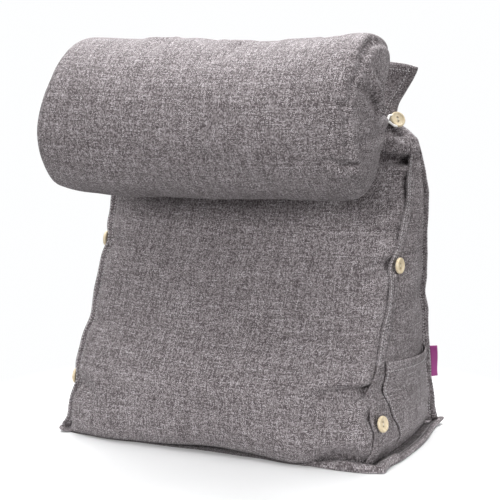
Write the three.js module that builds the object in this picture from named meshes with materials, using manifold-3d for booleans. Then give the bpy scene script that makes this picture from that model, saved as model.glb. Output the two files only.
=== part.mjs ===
// Wedge backrest cushion with a neck bolster hung from its two top buttons.
// Millimetres, +Z up. The front panel faces -Y, +X is the pocket side, and the base rests on Z = 0.

import * as THREE from "three";
import { mergeVertices } from "three/addons/utils/BufferGeometryUtils.js";
import Module from "manifold-3d";

const { clamp, degToRad, lerp, smoothstep } = THREE.MathUtils;

// Seams: every seam of the wedge is turned out as a flat stitched flange
const FLANGE_THICKNESS = 3.2;
const FLANGE_SIDE_SHARE = 0.24;
const BASE_EDGE_HEIGHT = 2.5;
const RUFFLE = { swing: 13, wavelength: 74, fadeHeight: 190 };
const RIDGE_CORNER_DROOP = { drop: 8, fromHeight: 420, sharpness: 10 };

// Wedge sections from the base seam up to the ridge. half is half the width between the upright seams, front
// and back are where those seams lie, a crown is how far a panel swells past its seams, fullness is the
// exponent of the front swell (low is boxy, high is thin at the edges) and flange is the width of the seam.
const CROWN_COLUMNS = ["frontCrown", "backCrown", "sideCrown"];
const LEVEL_COLUMNS = ["z", "half", "front", "back", ...CROWN_COLUMNS, "fullness", "flange"];
const LEVELS = [
  [9.5, 213, -102, 112, 26, 8, 6, 0.24, 10],
  [22, 214, -101, 110, 39, 12, 10, 0.25, 10],
  [40, 214, -100, 108, 47, 14, 13, 0.27, 10],
  [80, 210, -96, 104, 49, 15, 16, 0.31, 10],
  [120, 208, -80, 99, 48, 16, 17, 0.33, 10],
  [160, 208, -54, 93, 47, 17, 17, 0.34, 10],
  [200, 208, -34, 87, 46, 17, 16, 0.35, 10],
  [240, 208, -16, 82, 45, 17, 14, 0.36, 10],
  [280, 210, 5, 76, 45, 16, 12, 0.38, 10],
  [320, 212, 22, 70, 45, 15, 9, 0.41, 10],
  [350, 210, 30, 65, 46, 14, 7, 0.47, 9],
  [378, 209, 36, 60, 47, 13, 5, 0.56, 7],
  [393, 206, 36, 58, 47, 12, 4, 0.63, 4],
  [405, 196, 34, 55, 46, 11, 2, 0.7, 2.5],
  [421, 183, 30, 50, 44, 9, 1, 0.85, 2],
  [438, 185, 36, 49, 36, 7, 0.6, 1.0, 1.4],
  [458, 195, 42, 49.5, 22, 4, 0.3, 1.2, 1.0],
  [480, 206, 45, 49.2, 4, 1, 0.2, 1.3, 0.8],
  [496, 211, 46, 49.2, 0, 0, 0.1, 1.3, 0.8],
].map((row) => namedRow(LEVEL_COLUMNS, row));

// Outline of the base flange: drawn in between its corners, most of all under the middle of the front panel
const BASE_OUTLINE = namedRow(LEVEL_COLUMNS, [0, 226, -114, 121, 22, -4, -4, 0.44, 4.5]);
const BASE_FRONT_HOLLOW = { depth: 32, spread: 110 };
const BASE_CORNER_LEAN = 45;

// Upright seams in order round the section: signs of their corner, which way the flange points (degrees from
// its own side toward its own end) and where its ruffle starts
const CORNERS = {
  frontRight: { side: 1, end: -1, lean: 85, ruffleStart: 0.6 },
  backRight: { side: 1, end: 1, lean: 42, ruffleStart: 2.1 },
  backLeft: { side: -1, end: 1, lean: 42, ruffleStart: 0.2 },
  frontLeft: { side: -1, end: -1, lean: 80, ruffleStart: 4.0 },
};

// Places where a seam is drawn in, by a button or by a tuck in the cloth, or pushed out (less than 0)
const TUCK_COLUMNS = ["corner", "z", "pull", "spread"];
const TUCKS = [
  ["frontRight", 92, 8, 13],
  ["frontRight", 60, 4, 10],
  ["frontRight", 240, 4, 16],
  ["frontLeft", 150, 4, 15],
  ["frontLeft", 68, 5, 15],
  ["frontLeft", 249, 4, 16],
  ["frontLeft", 30, -5, 26],
  ["backRight", 191, 4, 18],
  ["backLeft", 130, 4, 20],
].map((row) => namedRow(TUCK_COLUMNS, row));

// Creases pressed into the front panel, from a seam toward the middle
const FOLD_COLUMNS = ["fromX", "fromZ", "toX", "toZ", "depth", "width"];
const FRONT_FOLDS = [
  [208, 92, 120, 86, 9, 12],
  [208, 58, 160, 55, 4, 10],
  [208, 240, 140, 229, 5, 13],
  [-208, 249, -150, 236, 4, 13],
  [-208, 70, -160, 68, 5, 13],
  [208, 372, 150, 380, 8, 11],
].map((row) => namedRow(FOLD_COLUMNS, row));

// Exponents of the swell of the other panels, and of the fade of a press toward the seams
const SIDE_FULLNESS = 1.15;
const BACK_FULLNESS = 0.5;
const PRESS_FADE = 0.25;

// Mesh steps of the wedge
const WEDGE_STEPS = { front: 26, side: 9, back: 16, up: 46, ridge: 2 };

// Neck bolster: a round pillow, its axis along X, leaning on the front of the wedge
const BOLSTER = { y: -98, z: 425, around: 40, shear: 15, shearStart: 110, shearEnd: 210 };
// Below its axis the right end stands straighter and is lifted less
const BOLSTER_RIGHT_FOOT = { shear: 0.35, lift: 0.3 };
const BOLSTER_COLUMNS = ["x", "radius", "lift"];
const BOLSTER_SECTIONS = [
  [-228, 0, 2],
  [-226, 38, 2],
  [-221, 67, 2],
  [-212, 87, 1],
  [-199, 97, 1],
  [-178, 100, 0],
  [-120, 101.5, -2],
  [-60, 101, -4],
  [0, 100.5, -5],
  [60, 100.5, -4],
  [110, 100.5, -1],
  [145, 100.5, 2],
  [170, 100, 6],
  [183, 98, 9],
  [193, 92, 10],
  [200, 80, 10],
  [204, 58, 10],
  [206, 30, 10],
  [206.5, 0, 10],
].map((row) => namedRow(BOLSTER_COLUMNS, row));
const BOLSTER_EAR = { x: 186, y: 4, z: 422, spread: 26, pull: 0.9 };

// The plane in which the bolster and the wedge press each other flat, and the gap between the two cloths
const CONTACT = { y: -6.7, z: 425, slope: 0.231, lowEdge: 350, lowSlope: 0.9, halfLength: 165, fade: 25 };
const CLOTH_GAP = 0.3;
const PRESS_SOFTNESS = 2.5;

// Wooden two-hole buttons at the roots of the front seams, on sewn thread stems, turned a little to the front
const BUTTON = { radius: 10.5, thickness: 4.2, bevel: 1.4, stem: 1.7, segments: 18 };
const BUTTON_DISH = { rim: 2.4, depth: 1.5, slope: 1.4 };
const BUTTON_HOLE = { radius: 1.1, apart: 4.6, depth: 3.6, segments: 6 };
const BUTTON_COLUMNS = ["name", "side", "z", "behindSeam", "standOff", "turn", "seatGap"];
const BUTTONS = [
  ["button_right_top", 1, 421, 6, 6.8, 12, 1.5],
  ["button_right_middle", 1, 240, 2, 3.0, 10, 1.3],
  ["button_right_low", 1, 54, 5, 3.6, 14, 1.0],
  ["button_left_top", -1, 421, 6, 6.8, 12, 1.5],
  ["button_left_middle", -1, 249, 2, 6.4, 12, 1.3],
  ["button_left_low", -1, 72, 5, 7.4, 6, 1.0],
].map((row) => namedRow(BUTTON_COLUMNS, row));

// Elastic loops that hang the bolster on the top buttons
const LOOP = { radius: 1.5, clearance: 0.5, rootApart: 4, rootGap: 0.4, heightShare: 0.38 };
const LOOP_STEPS = { around: 8, along: 26, bend: 8 };

// Patch pocket on the right side panel: its front edge runs down from the mouth and back along the base
const POCKET = { thickness: 2.0, hem: 18, hemThickness: 3.0, seatGap: 0.7, backMargin: 7 };
const POCKET_GAPE = { depth: 2.0, steepness: 3 };
const POCKET_COLUMNS = ["z", "frontY"];
const POCKET_FRONT_EDGE = [
  [20, -37],
  [34, -47],
  [60, -62],
  [90, -72],
  [126, -70],
].map((row) => namedRow(POCKET_COLUMNS, row));
const POCKET_MOUTH = { frontZ: 124, backZ: 111 };
const POCKET_STEPS = { along: 12, up: 10 };

// Plain ribbon tab held in the back right seam beside the pocket
const TAB = { lowZ: 68, highZ: 112, reach: 10, thickness: 1.4, seatGap: 0.5, steps: 4 };

const COLOURS = { linen: 0x807b7e, wood: 0xd8c9a4, elastic: 0xf2f0ec, ribbon: 0x96327f };

function namedRow(columns, row) {
  return Object.fromEntries(columns.map((column, i) => [column, row[i]]));
}

function bell(distance, spread) {
  return Math.exp(-((distance / spread) ** 2));
}

// Smooth curve through one column of a table, which never passes the rows' own values
function smoothColumn(rows, across, column) {
  const at = rows.map((row) => row[across]);
  const value = rows.map((row) => row[column]);
  const steepness = at.slice(1).map((next, i) => (value[i + 1] - value[i]) / (next - at[i]));
  const slope = value.map((_, i) => {
    const before = steepness[i - 1] ?? 0;
    const after = steepness[i] ?? 0;
    return before * after > 0 ? (2 * before * after) / (before + after) : 0;
  });
  return (place) => {
    const above = at.findIndex((edge) => edge > place);
    const i = clamp((above < 0 ? at.length : above) - 1, 0, at.length - 2);
    const width = at[i + 1] - at[i];
    const t = clamp((place - at[i]) / width, 0, 1);
    const rest = 1 - t;
    const ends = value[i] * (1 + 2 * t) * rest * rest + value[i + 1] * (1 + 2 * rest) * t * t;
    return ends + width * t * rest * (slope[i] * rest - slope[i + 1] * t);
  };
}

function smoothTable(rows, across) {
  const names = Object.keys(rows[0]).filter((name) => name !== across);
  const curves = names.map((name) => smoothColumn(rows, across, name));
  return (place) => namedRow([across, ...names], [place, ...curves.map((curve) => curve(place))]);
}

const levelAt = smoothTable(LEVELS, "z");
const bolsterAt = smoothTable(BOLSTER_SECTIONS, "x");

// Closed skin over rings of points that run anticlockwise round their axis, with flat or pointed ends
function skinRings(rings, capIndices) {
  const count = rings[0].length;
  const index = [];
  for (let r = 0; r < rings.length - 1; r += 1) {
    for (let c = 0; c < count; c += 1) {
      const next = (c + 1) % count;
      const [low, lowNext] = [r * count + c, r * count + next];
      const [high, highNext] = [low + count, lowNext + count];
      index.push(low, lowNext, highNext, low, highNext, high);
    }
  }
  const lastRing = (rings.length - 1) * count;
  capIndices(rings[0]).forEach(([a, b, c]) => index.push(a, c, b));
  capIndices(rings.at(-1)).forEach(([a, b, c]) => index.push(lastRing + a, lastRing + b, lastRing + c));
  const geometry = new THREE.BufferGeometry().setFromPoints(rings.flat());
  geometry.setIndex(index);
  return geometry;
}

function flatCap(ring) {
  return THREE.ShapeUtils.triangulateShape(ring.map((p) => new THREE.Vector2(p.x, p.y)), []);
}

// Upright seam at a level: its root, the way its flange points, and the same turned to the left
function seamAt(name, level, lean) {
  const { side, end, ruffleStart } = CORNERS[name];
  const swing = RUFFLE.swing * Math.exp(-level.z / RUFFLE.fadeHeight);
  const wave = Math.sin((2 * Math.PI * level.z) / RUFFLE.wavelength + ruffleStart);
  const angle = degToRad(lean + swing * wave);
  const out = new THREE.Vector2(side * Math.cos(angle), end * Math.sin(angle));
  const left = new THREE.Vector2(-out.y, out.x);
  const pull = TUCKS.filter((tuck) => tuck.corner === name)
    .reduce((sum, tuck) => sum + tuck.pull * bell(level.z - tuck.z, tuck.spread), 0);
  const root = new THREE.Vector2(side * (level.half - pull), end < 0 ? level.front : level.back);
  const thickness = Math.min(FLANGE_THICKNESS, FLANGE_SIDE_SHARE * (level.back - level.front));
  return { root, out, left, half: thickness / 2, width: level.flange };
}

function bodySeam(name, level) {
  return seamAt(name, level, CORNERS[name].lean);
}

function baseSeam(name, level) {
  return seamAt(name, level, BASE_CORNER_LEAN);
}

// The two faces of a flange at its root, in order round the section
function seamBefore({ root, left, half }) {
  return root.clone().addScaledVector(left, -half);
}

function seamAfter({ root, left, half }) {
  return root.clone().addScaledVector(left, half);
}

function flangeEdge(seam) {
  return [seamBefore(seam), seamAfter(seam)].map((p) => p.addScaledVector(seam.out, seam.width));
}

function foldDepth(x, z) {
  return FRONT_FOLDS.reduce((sum, fold) => {
    const along = new THREE.Vector2(fold.toX - fold.fromX, fold.toZ - fold.fromZ);
    const offset = new THREE.Vector2(x - fold.fromX, z - fold.fromZ);
    const t = clamp(offset.dot(along) / along.lengthSq(), 0, 1);
    const distance = offset.addScaledVector(along, -t).length();
    return sum + fold.depth * (1 - t * t) * bell(distance, fold.width);
  }, 0);
}

// Depth of the pressed plane at a height, which curves away below the bolster
function contactY(z) {
  return CONTACT.y + CONTACT.slope * (z - CONTACT.z) - CONTACT.lowSlope * Math.max(0, CONTACT.lowEdge - z);
}

function softFloor(value, floor) {
  return floor + PRESS_SOFTNESS * Math.log1p(Math.exp((value - floor) / PRESS_SOFTNESS));
}

// Points across one panel, spaced closer toward its seams, each moved out by the panel's crown
function panelPoints(from, to, steps, move) {
  return Array.from({ length: steps + 1 }, (_, i) => {
    const across = Math.sin((Math.PI / 2) * ((2 * i) / steps - 1));
    return move(from.clone().lerp(to, (across + 1) / 2), 1 - across * across);
  });
}

function frontMove(level) {
  return (p, inside) => {
    const swell = level.frontCrown * inside ** level.fullness;
    const shaped = p.y - swell + foldDepth(p.x, level.z) * Math.sqrt(inside);
    p.y = lerp(shaped, softFloor(shaped, contactY(level.z) + CLOTH_GAP / 2), inside ** PRESS_FADE);
    return p;
  };
}

function baseFrontMove(p, inside) {
  const swell = BASE_OUTLINE.frontCrown * inside ** BASE_OUTLINE.fullness;
  const hollow = BASE_FRONT_HOLLOW.depth * bell(p.x, BASE_FRONT_HOLLOW.spread) * Math.sqrt(inside);
  return p.set(p.x, p.y - swell + hollow);
}

function sideMove(level, side) {
  return (p, inside) => p.set(p.x + side * level.sideCrown * inside ** SIDE_FULLNESS, p.y);
}

function backMove(level) {
  return (p, inside) => p.set(p.x, p.y + level.backCrown * inside ** BACK_FULLNESS);
}

// One horizontal section of the wedge, anticlockwise from the front left seam
function wedgeSection(level, seamOf, moveFront) {
  const seams = Object.keys(CORNERS).map((name) => seamOf(name, level));
  const [frontRight, backRight, backLeft, frontLeft] = seams;
  const { front, side, back } = WEDGE_STEPS;
  const outline = [
    ...panelPoints(seamAfter(frontLeft), seamBefore(frontRight), front, moveFront),
    ...flangeEdge(frontRight),
    ...panelPoints(seamAfter(frontRight), seamBefore(backRight), side, sideMove(level, 1)),
    ...flangeEdge(backRight),
    ...panelPoints(seamAfter(backRight), seamBefore(backLeft), back, backMove(level)),
    ...flangeEdge(backLeft),
    ...panelPoints(seamAfter(backLeft), seamBefore(frontLeft), side, sideMove(level, -1)),
    ...flangeEdge(frontLeft),
  ];
  return outline.map((p) => new THREE.Vector3(p.x, p.y, level.z - ridgeDroop(p.x, level.z)));
}

// The ends of the ridge hang a little lower than its middle
function ridgeDroop(x, z) {
  const { drop, fromHeight, sharpness } = RIDGE_CORNER_DROOP;
  const ridge = LEVELS.at(-1);
  const height = clamp((z - fromHeight) / (ridge.z - fromHeight), 0, 1);
  return drop * height * Math.min(1, Math.abs(x) / ridge.half) ** sharpness;
}

function wedgeGeometry() {
  const [first, last] = [LEVELS[0].z, LEVELS.at(-2).z];
  const { up, ridge } = WEDGE_STEPS;
  const bodyHeights = Array.from({ length: up + 1 }, (_, i) => lerp(first, last, i / up));
  const ridgeHeights = Array.from({ length: ridge }, (_, i) => lerp(last, LEVELS.at(-1).z, (i + 1) / ridge));
  const baseRings = [0, BASE_EDGE_HEIGHT].map((z) =>
    wedgeSection(BASE_OUTLINE, baseSeam, baseFrontMove).map((p) => p.setZ(z)));
  const bodyRings = [...bodyHeights, ...ridgeHeights].map((z) => {
    const level = levelAt(z);
    return wedgeSection(level, bodySeam, frontMove(level));
  });
  return skinRings([...baseRings, ...bodyRings], flatCap);
}

// Point of a side panel, from its front seam (0) to its back seam (1)
function sidePoint(side, share, z) {
  const level = levelAt(z);
  const [frontName, backName] = side > 0 ? ["frontRight", "backRight"] : ["frontLeft", "backLeft"];
  const [frontSeam, backSeam] = [bodySeam(frontName, level), bodySeam(backName, level)];
  const from = side > 0 ? seamAfter(frontSeam) : seamBefore(frontSeam);
  const to = side > 0 ? seamBefore(backSeam) : seamAfter(backSeam);
  const across = 2 * share - 1;
  const p = sideMove(level, side)(from.lerp(to, share), Math.max(0, 1 - across * across));
  return new THREE.Vector3(p.x, p.y, z);
}

function sideNormal(side, share, z) {
  const shareStep = 0.02;
  const heightStep = 4;
  const along = sidePoint(side, share + shareStep, z).sub(sidePoint(side, share - shareStep, z));
  const up = sidePoint(side, share, z + heightStep).sub(sidePoint(side, share, z - heightStep));
  return along.cross(up).normalize().multiplyScalar(side);
}

function bolsterRing(section) {
  const side = section.x < 0 ? -1 : 1;
  const { shear, shearStart, shearEnd } = BOLSTER;
  const end = clamp((Math.abs(section.x) - shearStart) / (shearEnd - shearStart), 0, 1);
  const ear = new THREE.Vector3(side * BOLSTER_EAR.x, BOLSTER_EAR.y, BOLSTER_EAR.z);
  const press = 1 - clamp((Math.abs(section.x) - CONTACT.halfLength) / CONTACT.fade, 0, 1);
  return Array.from({ length: BOLSTER.around }, (_, i) => {
    const angle = (2 * Math.PI * i) / BOLSTER.around;
    const height = Math.sin(angle);
    const shearShare = side > 0 && height < 0 ? BOLSTER_RIGHT_FOOT.shear : 1;
    const liftShare = side > 0 ? lerp(BOLSTER_RIGHT_FOOT.lift, 1, smoothstep(height, -1, 1)) : 1;
    const p = new THREE.Vector3(
      section.x + shear * shearShare * end * height,
      BOLSTER.y + section.radius * Math.cos(angle),
      BOLSTER.z + section.lift * liftShare + section.radius * height,
    );
    const pressed = -softFloor(-p.y, -(contactY(p.z) - CLOTH_GAP / 2));
    p.y = lerp(p.y, pressed, press);
    const pulled = bell(p.distanceTo(ear), BOLSTER_EAR.spread);
    return p.lerp(ear, pulled * BOLSTER_EAR.pull);
  });
}

function bolsterGeometry() {
  const inner = BOLSTER_SECTIONS.slice(1, -1);
  const halfway = inner.slice(1).map((section, i) => bolsterAt((section.x + inner[i].x) / 2));
  const sections = [...inner, ...halfway].sort((a, b) => a.x - b.x);
  return skinRings(sections.map(bolsterRing), (ring) => ring.slice(2).map((_, i) => [0, i + 1, i + 2]));
}

// Boolean solids
const WELD_DISTANCE = 1e-4;
const wasm = await Module();
wasm.setup();

function toSolid(geometry) {
  const bare = geometry.clone();
  bare.deleteAttribute("normal");
  bare.deleteAttribute("uv");
  const merged = mergeVertices(bare, WELD_DISTANCE);
  const vertProperties = new Float32Array(merged.attributes.position.array);
  const triVerts = new Uint32Array(merged.index.array);
  return new wasm.Manifold(new wasm.Mesh({ numProp: 3, vertProperties, triVerts }));
}

function toGeometry(solid) {
  const { vertProperties, triVerts } = solid.getMesh();
  const geometry = new THREE.BufferGeometry();
  geometry.setAttribute("position", new THREE.BufferAttribute(new Float32Array(vertProperties), 3));
  geometry.setIndex(new THREE.BufferAttribute(new Uint32Array(triVerts), 1));
  return geometry;
}

// Button turned about +Y, with its thread stem below it and two holes through its dished face
function buttonGeometry(standOff) {
  const { radius, thickness, bevel, stem, segments } = BUTTON;
  const { rim, depth, slope } = BUTTON_DISH;
  const top = standOff + thickness;
  const profile = [
    [0, 0],
    [stem, 0],
    [stem, standOff],
    [radius - bevel, standOff],
    [radius, standOff + bevel],
    [radius, top - bevel],
    [radius - bevel, top],
    [radius - rim, top],
    [radius - rim - slope, top - depth],
    [0, top - depth],
  ].map(([r, h]) => new THREE.Vector2(r, h));
  const disc = toSolid(new THREE.LatheGeometry(profile, segments));
  const hole = BUTTON_HOLE;
  const drill = new THREE.CylinderGeometry(hole.radius, hole.radius, hole.depth, hole.segments);
  drill.translate(0, top - depth, 0);
  const holes = [-1, 1].map((way) => toSolid(drill.clone().translate(0, 0, (way * hole.apart) / 2)));
  return toGeometry(holes.reduce((solid, bore) => solid.subtract(bore), disc));
}

// Where a button is sewn on, at the root of a front seam's flange, and the way it faces
function buttonSeat({ side, z, behindSeam, turn, seatGap }) {
  const level = levelAt(z);
  const share = behindSeam / (level.back - level.front);
  const [below, above] = [-1, 1].map((way) => sidePoint(side, share, z + way * BUTTON.radius));
  const upSeam = above.sub(below).normalize();
  const facing = new THREE.Vector3(side * Math.cos(degToRad(turn)), -Math.sin(degToRad(turn)), 0);
  const normal = facing.addScaledVector(upSeam, -facing.dot(upSeam)).normalize();
  return { seat: sidePoint(side, share, z).addScaledVector(normal, seatGap), normal };
}

// The point of the bolster's skin nearest to a place
function nearestOnBolster(bolster, place) {
  const { position } = bolster.attributes;
  const pointAt = (_, i) => new THREE.Vector3().fromBufferAttribute(position, i);
  const points = Array.from({ length: position.count }, pointAt);
  return points.reduce((best, p) => (p.distanceTo(place) < best.distanceTo(place) ? p : best));
}

// Loop from the bolster's pulled end round a top button's stem and back
function loopGeometry(button, bolster) {
  const { seat, normal } = buttonSeat(button);
  const centre = seat.clone().addScaledVector(normal, button.standOff * LOOP.heightShare);
  const ear = nearestOnBolster(bolster, centre);
  const toEar = ear.clone().sub(centre).normalize();
  const across = normal.clone().cross(toEar).normalize();
  const bend = BUTTON.stem + LOOP.radius + LOOP.clearance;
  const root = ear.clone().addScaledVector(toEar, -LOOP.rootGap);
  const bendPoints = Array.from({ length: LOOP_STEPS.bend + 1 }, (_, i) => {
    const angle = (Math.PI * i) / LOOP_STEPS.bend;
    return centre.clone()
      .addScaledVector(across, bend * Math.cos(angle))
      .addScaledVector(toEar, -bend * Math.sin(angle));
  });
  const points = [
    root.clone().addScaledVector(across, LOOP.rootApart / 2),
    ...bendPoints,
    root.clone().addScaledVector(across, -LOOP.rootApart / 2),
  ];
  const section = new THREE.Shape(Array.from({ length: LOOP_STEPS.around }, (_, i) => {
    const angle = (2 * Math.PI * i) / LOOP_STEPS.around;
    return new THREE.Vector2(LOOP.radius * Math.cos(angle), LOOP.radius * Math.sin(angle));
  }));
  const path = new THREE.CatmullRomCurve3(points, false, "chordal");
  return new THREE.ExtrudeGeometry(section, { steps: LOOP_STEPS.along, extrudePath: path });
}

// Pocket sheet over the side panel, sewn close at its edges and a little open at its mouth
function pocketGeometry() {
  const frontY = smoothColumn(POCKET_FRONT_EDGE, "z", "frontY");
  const lowZ = POCKET_FRONT_EDGE[0].z;
  const { along, up } = POCKET_STEPS;
  const place = (i, j) => {
    const across = i / along;
    const rise = j / up;
    const z = lerp(lowZ, lerp(POCKET_MOUTH.frontZ, POCKET_MOUTH.backZ, across), rise);
    const level = levelAt(z);
    const depth = level.back - level.front;
    const startShare = (frontY(z) - level.front) / depth;
    const share = lerp(startShare, 1 - POCKET.backMargin / depth, across);
    const hemmed = z > lerp(POCKET_MOUTH.frontZ, POCKET_MOUTH.backZ, across) - POCKET.hem;
    const gape = POCKET_GAPE.depth * rise ** POCKET_GAPE.steepness * Math.sin(Math.PI * across);
    const normal = sideNormal(1, share, z);
    const inner = sidePoint(1, share, z).addScaledVector(normal, POCKET.seatGap + gape);
    const outer = inner.clone().addScaledVector(normal, hemmed ? POCKET.hemThickness : POCKET.thickness);
    return { inner, outer };
  };
  const rings = Array.from({ length: up + 1 }, (_, j) => {
    const row = Array.from({ length: along + 1 }, (__, i) => place(i, j));
    return [...row.map((p) => p.outer), ...row.map((p) => p.inner).reverse()];
  });
  const strip = Array.from({ length: along }, (_, i) => {
    const opposite = 2 * along + 1 - i;
    return [[i, i + 1, opposite], [i + 1, opposite - 1, opposite]];
  }).flat();
  return skinRings(rings, () => strip);
}

// Ribbon tab that carries on outward from the edge of the back right flange
function tabGeometry() {
  const rings = Array.from({ length: TAB.steps + 1 }, (_, j) => {
    const z = lerp(TAB.lowZ, TAB.highZ, j / TAB.steps);
    const seam = bodySeam("backRight", levelAt(z));
    const near = seam.root.clone().addScaledVector(seam.out, seam.width + TAB.seatGap);
    const far = near.clone().addScaledVector(seam.out, TAB.reach);
    return [[near, -1], [far, -1], [far, 1], [near, 1]].map(([p, way]) => {
      const corner = p.clone().addScaledVector(seam.left, (way * TAB.thickness) / 2);
      return new THREE.Vector3(corner.x, corner.y, z);
    });
  });
  return skinRings(rings, flatCap);
}

function cloth(color) {
  return new THREE.MeshStandardMaterial({ color, roughness: 0.95, metalness: 0 });
}

const MATERIALS = {
  linen: cloth(COLOURS.linen),
  elastic: cloth(COLOURS.elastic),
  ribbon: cloth(COLOURS.ribbon),
  wood: new THREE.MeshStandardMaterial({ color: COLOURS.wood, roughness: 0.45, metalness: 0 }),
};

function piece(name, geometry, material) {
  const mesh = new THREE.Mesh(geometry, material);
  mesh.name = name;
  return mesh;
}

const cushion = new THREE.Group();
cushion.add(piece("wedge_cushion", wedgeGeometry(), MATERIALS.linen));
const bolster = bolsterGeometry();
cushion.add(piece("neck_bolster", bolster, MATERIALS.linen));
cushion.add(piece("pocket_right", pocketGeometry(), MATERIALS.linen));
cushion.add(piece("ribbon_tab", tabGeometry(), MATERIALS.ribbon));
BUTTONS.forEach((button) => {
  const { seat, normal } = buttonSeat(button);
  const mesh = piece(button.name, buttonGeometry(button.standOff), MATERIALS.wood);
  mesh.position.copy(seat);
  mesh.quaternion.setFromUnitVectors(new THREE.Vector3(0, 1, 0), normal);
  cushion.add(mesh);
});
BUTTONS.filter((button) => button.name.endsWith("top")).forEach((button) => {
  const name = button.side > 0 ? "loop_right" : "loop_left";
  cushion.add(piece(name, loopGeometry(button, bolster), MATERIALS.elastic));
});

export default cushion;
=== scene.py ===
# %% [markdown]
# # A wedge backrest cushion with a neck bolster
# The cushion is an upright wedge of slubby grey linen. Its seams are turned out as flat stitched flanges, a patch
# pocket sits on its right side, and a round neck bolster hangs on its top two buttons by elastic loops.
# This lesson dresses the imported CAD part: every piece here lies where its CAD node lies, in metres.

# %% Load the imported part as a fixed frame
import math

import bpy
import numpy as np
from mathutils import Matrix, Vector
from mathutils.bvhtree import BVHTree


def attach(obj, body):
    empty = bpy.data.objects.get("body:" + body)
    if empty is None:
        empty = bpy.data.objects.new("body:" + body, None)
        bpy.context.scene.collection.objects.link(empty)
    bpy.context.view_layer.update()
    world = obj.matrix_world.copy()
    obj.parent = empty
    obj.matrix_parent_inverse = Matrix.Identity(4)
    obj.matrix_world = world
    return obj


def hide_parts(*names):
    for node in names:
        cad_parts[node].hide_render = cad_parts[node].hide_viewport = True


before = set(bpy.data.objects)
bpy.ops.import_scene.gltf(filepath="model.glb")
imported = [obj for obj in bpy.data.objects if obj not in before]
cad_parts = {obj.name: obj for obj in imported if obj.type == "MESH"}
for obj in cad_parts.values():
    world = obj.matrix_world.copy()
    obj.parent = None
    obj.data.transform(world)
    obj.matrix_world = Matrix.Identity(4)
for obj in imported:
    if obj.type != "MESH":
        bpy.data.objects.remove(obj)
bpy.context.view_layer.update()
scene = bpy.context.scene
MM = 0.001

# %% [markdown]
# ## Camera
# A camera could be placed by eye, but the photograph's base corners, seams and buttons give its angle, its
# distance and its focal length, so those are set directly. The picture is square, 500 pixels on a side.

# %% Camera at the photograph's viewing angle
CAMERA_AZIMUTH = math.radians(23.70)
CAMERA_ELEVATION = math.radians(8.976)
CAMERA_PLACE = Vector((0.7395, -1.6906, 0.5365))
FOCAL_PIXELS = 1400.0
IMAGE_PIXELS = 500
SENSOR_WIDTH = 36.0

camera_data = bpy.data.cameras.new("photo_camera")
camera_data.sensor_width = SENSOR_WIDTH
camera_data.lens = SENSOR_WIDTH * FOCAL_PIXELS / IMAGE_PIXELS
camera = bpy.data.objects.new("photo_camera", camera_data)
scene.collection.objects.link(camera)
toward_camera = Vector((
    math.sin(CAMERA_AZIMUTH) * math.cos(CAMERA_ELEVATION),
    -math.cos(CAMERA_AZIMUTH) * math.cos(CAMERA_ELEVATION),
    math.sin(CAMERA_ELEVATION),
))
camera.location = CAMERA_PLACE
camera.rotation_mode = "QUATERNION"
camera.rotation_quaternion = (-toward_camera).to_track_quat("-Z", "Y")
scene.camera = camera
print("lens in mm:", round(camera_data.lens, 1))

# %% [markdown]
# ## Studio
# The photograph is a bright catalogue picture in a white room. The bolster's top is its brightest part, so the
# strongest light stands above and behind. One in front shows the weave and leaves the cloth under the bolster dark.
# Weaker ones overhead, on the left and on the right fill in, and a faint one on the floor stands for the light that a
# white floor throws back at the bolster's lower side. Big area lights give shadows as soft as the photograph's. The
# world is white for the camera and only a weak light, so that the softboxes still shape the cushion.

# %% World and soft lights
WORLD_LIGHT = 0.02
CUSHION_MIDDLE, STRAIGHT_UP = (0.0, 0.0, 0.3), (0.0, -0.75, 1.0)
LIGHTS = (
    ("overhead_softbox", (-0.1, -0.25, 2.4), CUSHION_MIDDLE, 2.0, 37.0),
    ("top_back_softbox", (-0.2, 0.9, 2.0), CUSHION_MIDDLE, 1.6, 76.0),
    ("front_softbox", (-0.3, -2.6, 1.1), CUSHION_MIDDLE, 1.0, 52.0),
    ("left_softbox", (-1.6, -0.3, 2.2), CUSHION_MIDDLE, 1.6, 24.0),
    ("right_softbox", (2.45, -0.35, 1.0), CUSHION_MIDDLE, 1.6, 47.0),
    ("floor_bounce", (0.0, -0.75, 0.01), STRAIGHT_UP, 0.9, 2.0),
)

scene.view_settings.view_transform = "Standard"
world = bpy.data.worlds.new("white_room")
scene.world = world
world.use_nodes = True
world_nodes, world_links = world.node_tree.nodes, world.node_tree.links
room = world_nodes["Background"]
room.inputs["Color"].default_value = (0.97, 0.985, 1.0, 1.0)
room.inputs["Strength"].default_value = WORLD_LIGHT
white = world_nodes.new("ShaderNodeBackground")
white.inputs["Color"].default_value = (0.99, 0.995, 1.0, 1.0)
seen = world_nodes.new("ShaderNodeLightPath")
mixed = world_nodes.new("ShaderNodeMixShader")
world_links.new(seen.outputs["Is Camera Ray"], mixed.inputs[0])
world_links.new(room.outputs[0], mixed.inputs[1])
world_links.new(white.outputs[0], mixed.inputs[2])
world_links.new(mixed.outputs[0], world_nodes["World Output"].inputs["Surface"])

for name, place, aim, size, power in LIGHTS:
    light_data = bpy.data.lights.new(name, "AREA")
    light_data.shape = "SQUARE"
    light_data.size = size
    light_data.energy = power
    light = bpy.data.objects.new(name, light_data)
    light.location = place
    light.rotation_euler = (Vector(aim) - Vector(place)).to_track_quat("-Z", "Y").to_euler()
    scene.collection.objects.link(light)
print("lights:", len(LIGHTS))

# %% [markdown]
# ## Node helpers
# Materials and stitch trees are made of many small nodes. A few helpers keep that readable: they make a node and
# fill its inputs, with a number or with another node's output, do the same for a sum, and start a material.

# %% Helpers for node trees
def fill(tree, socket, value):
    if isinstance(value, bpy.types.NodeSocket):
        tree.links.new(value, socket)
    elif value is not None:
        socket.default_value = value


def fill_all(tree, node, inputs):
    for key, value in inputs.items():
        fill(tree, node.inputs[key], value)


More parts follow.
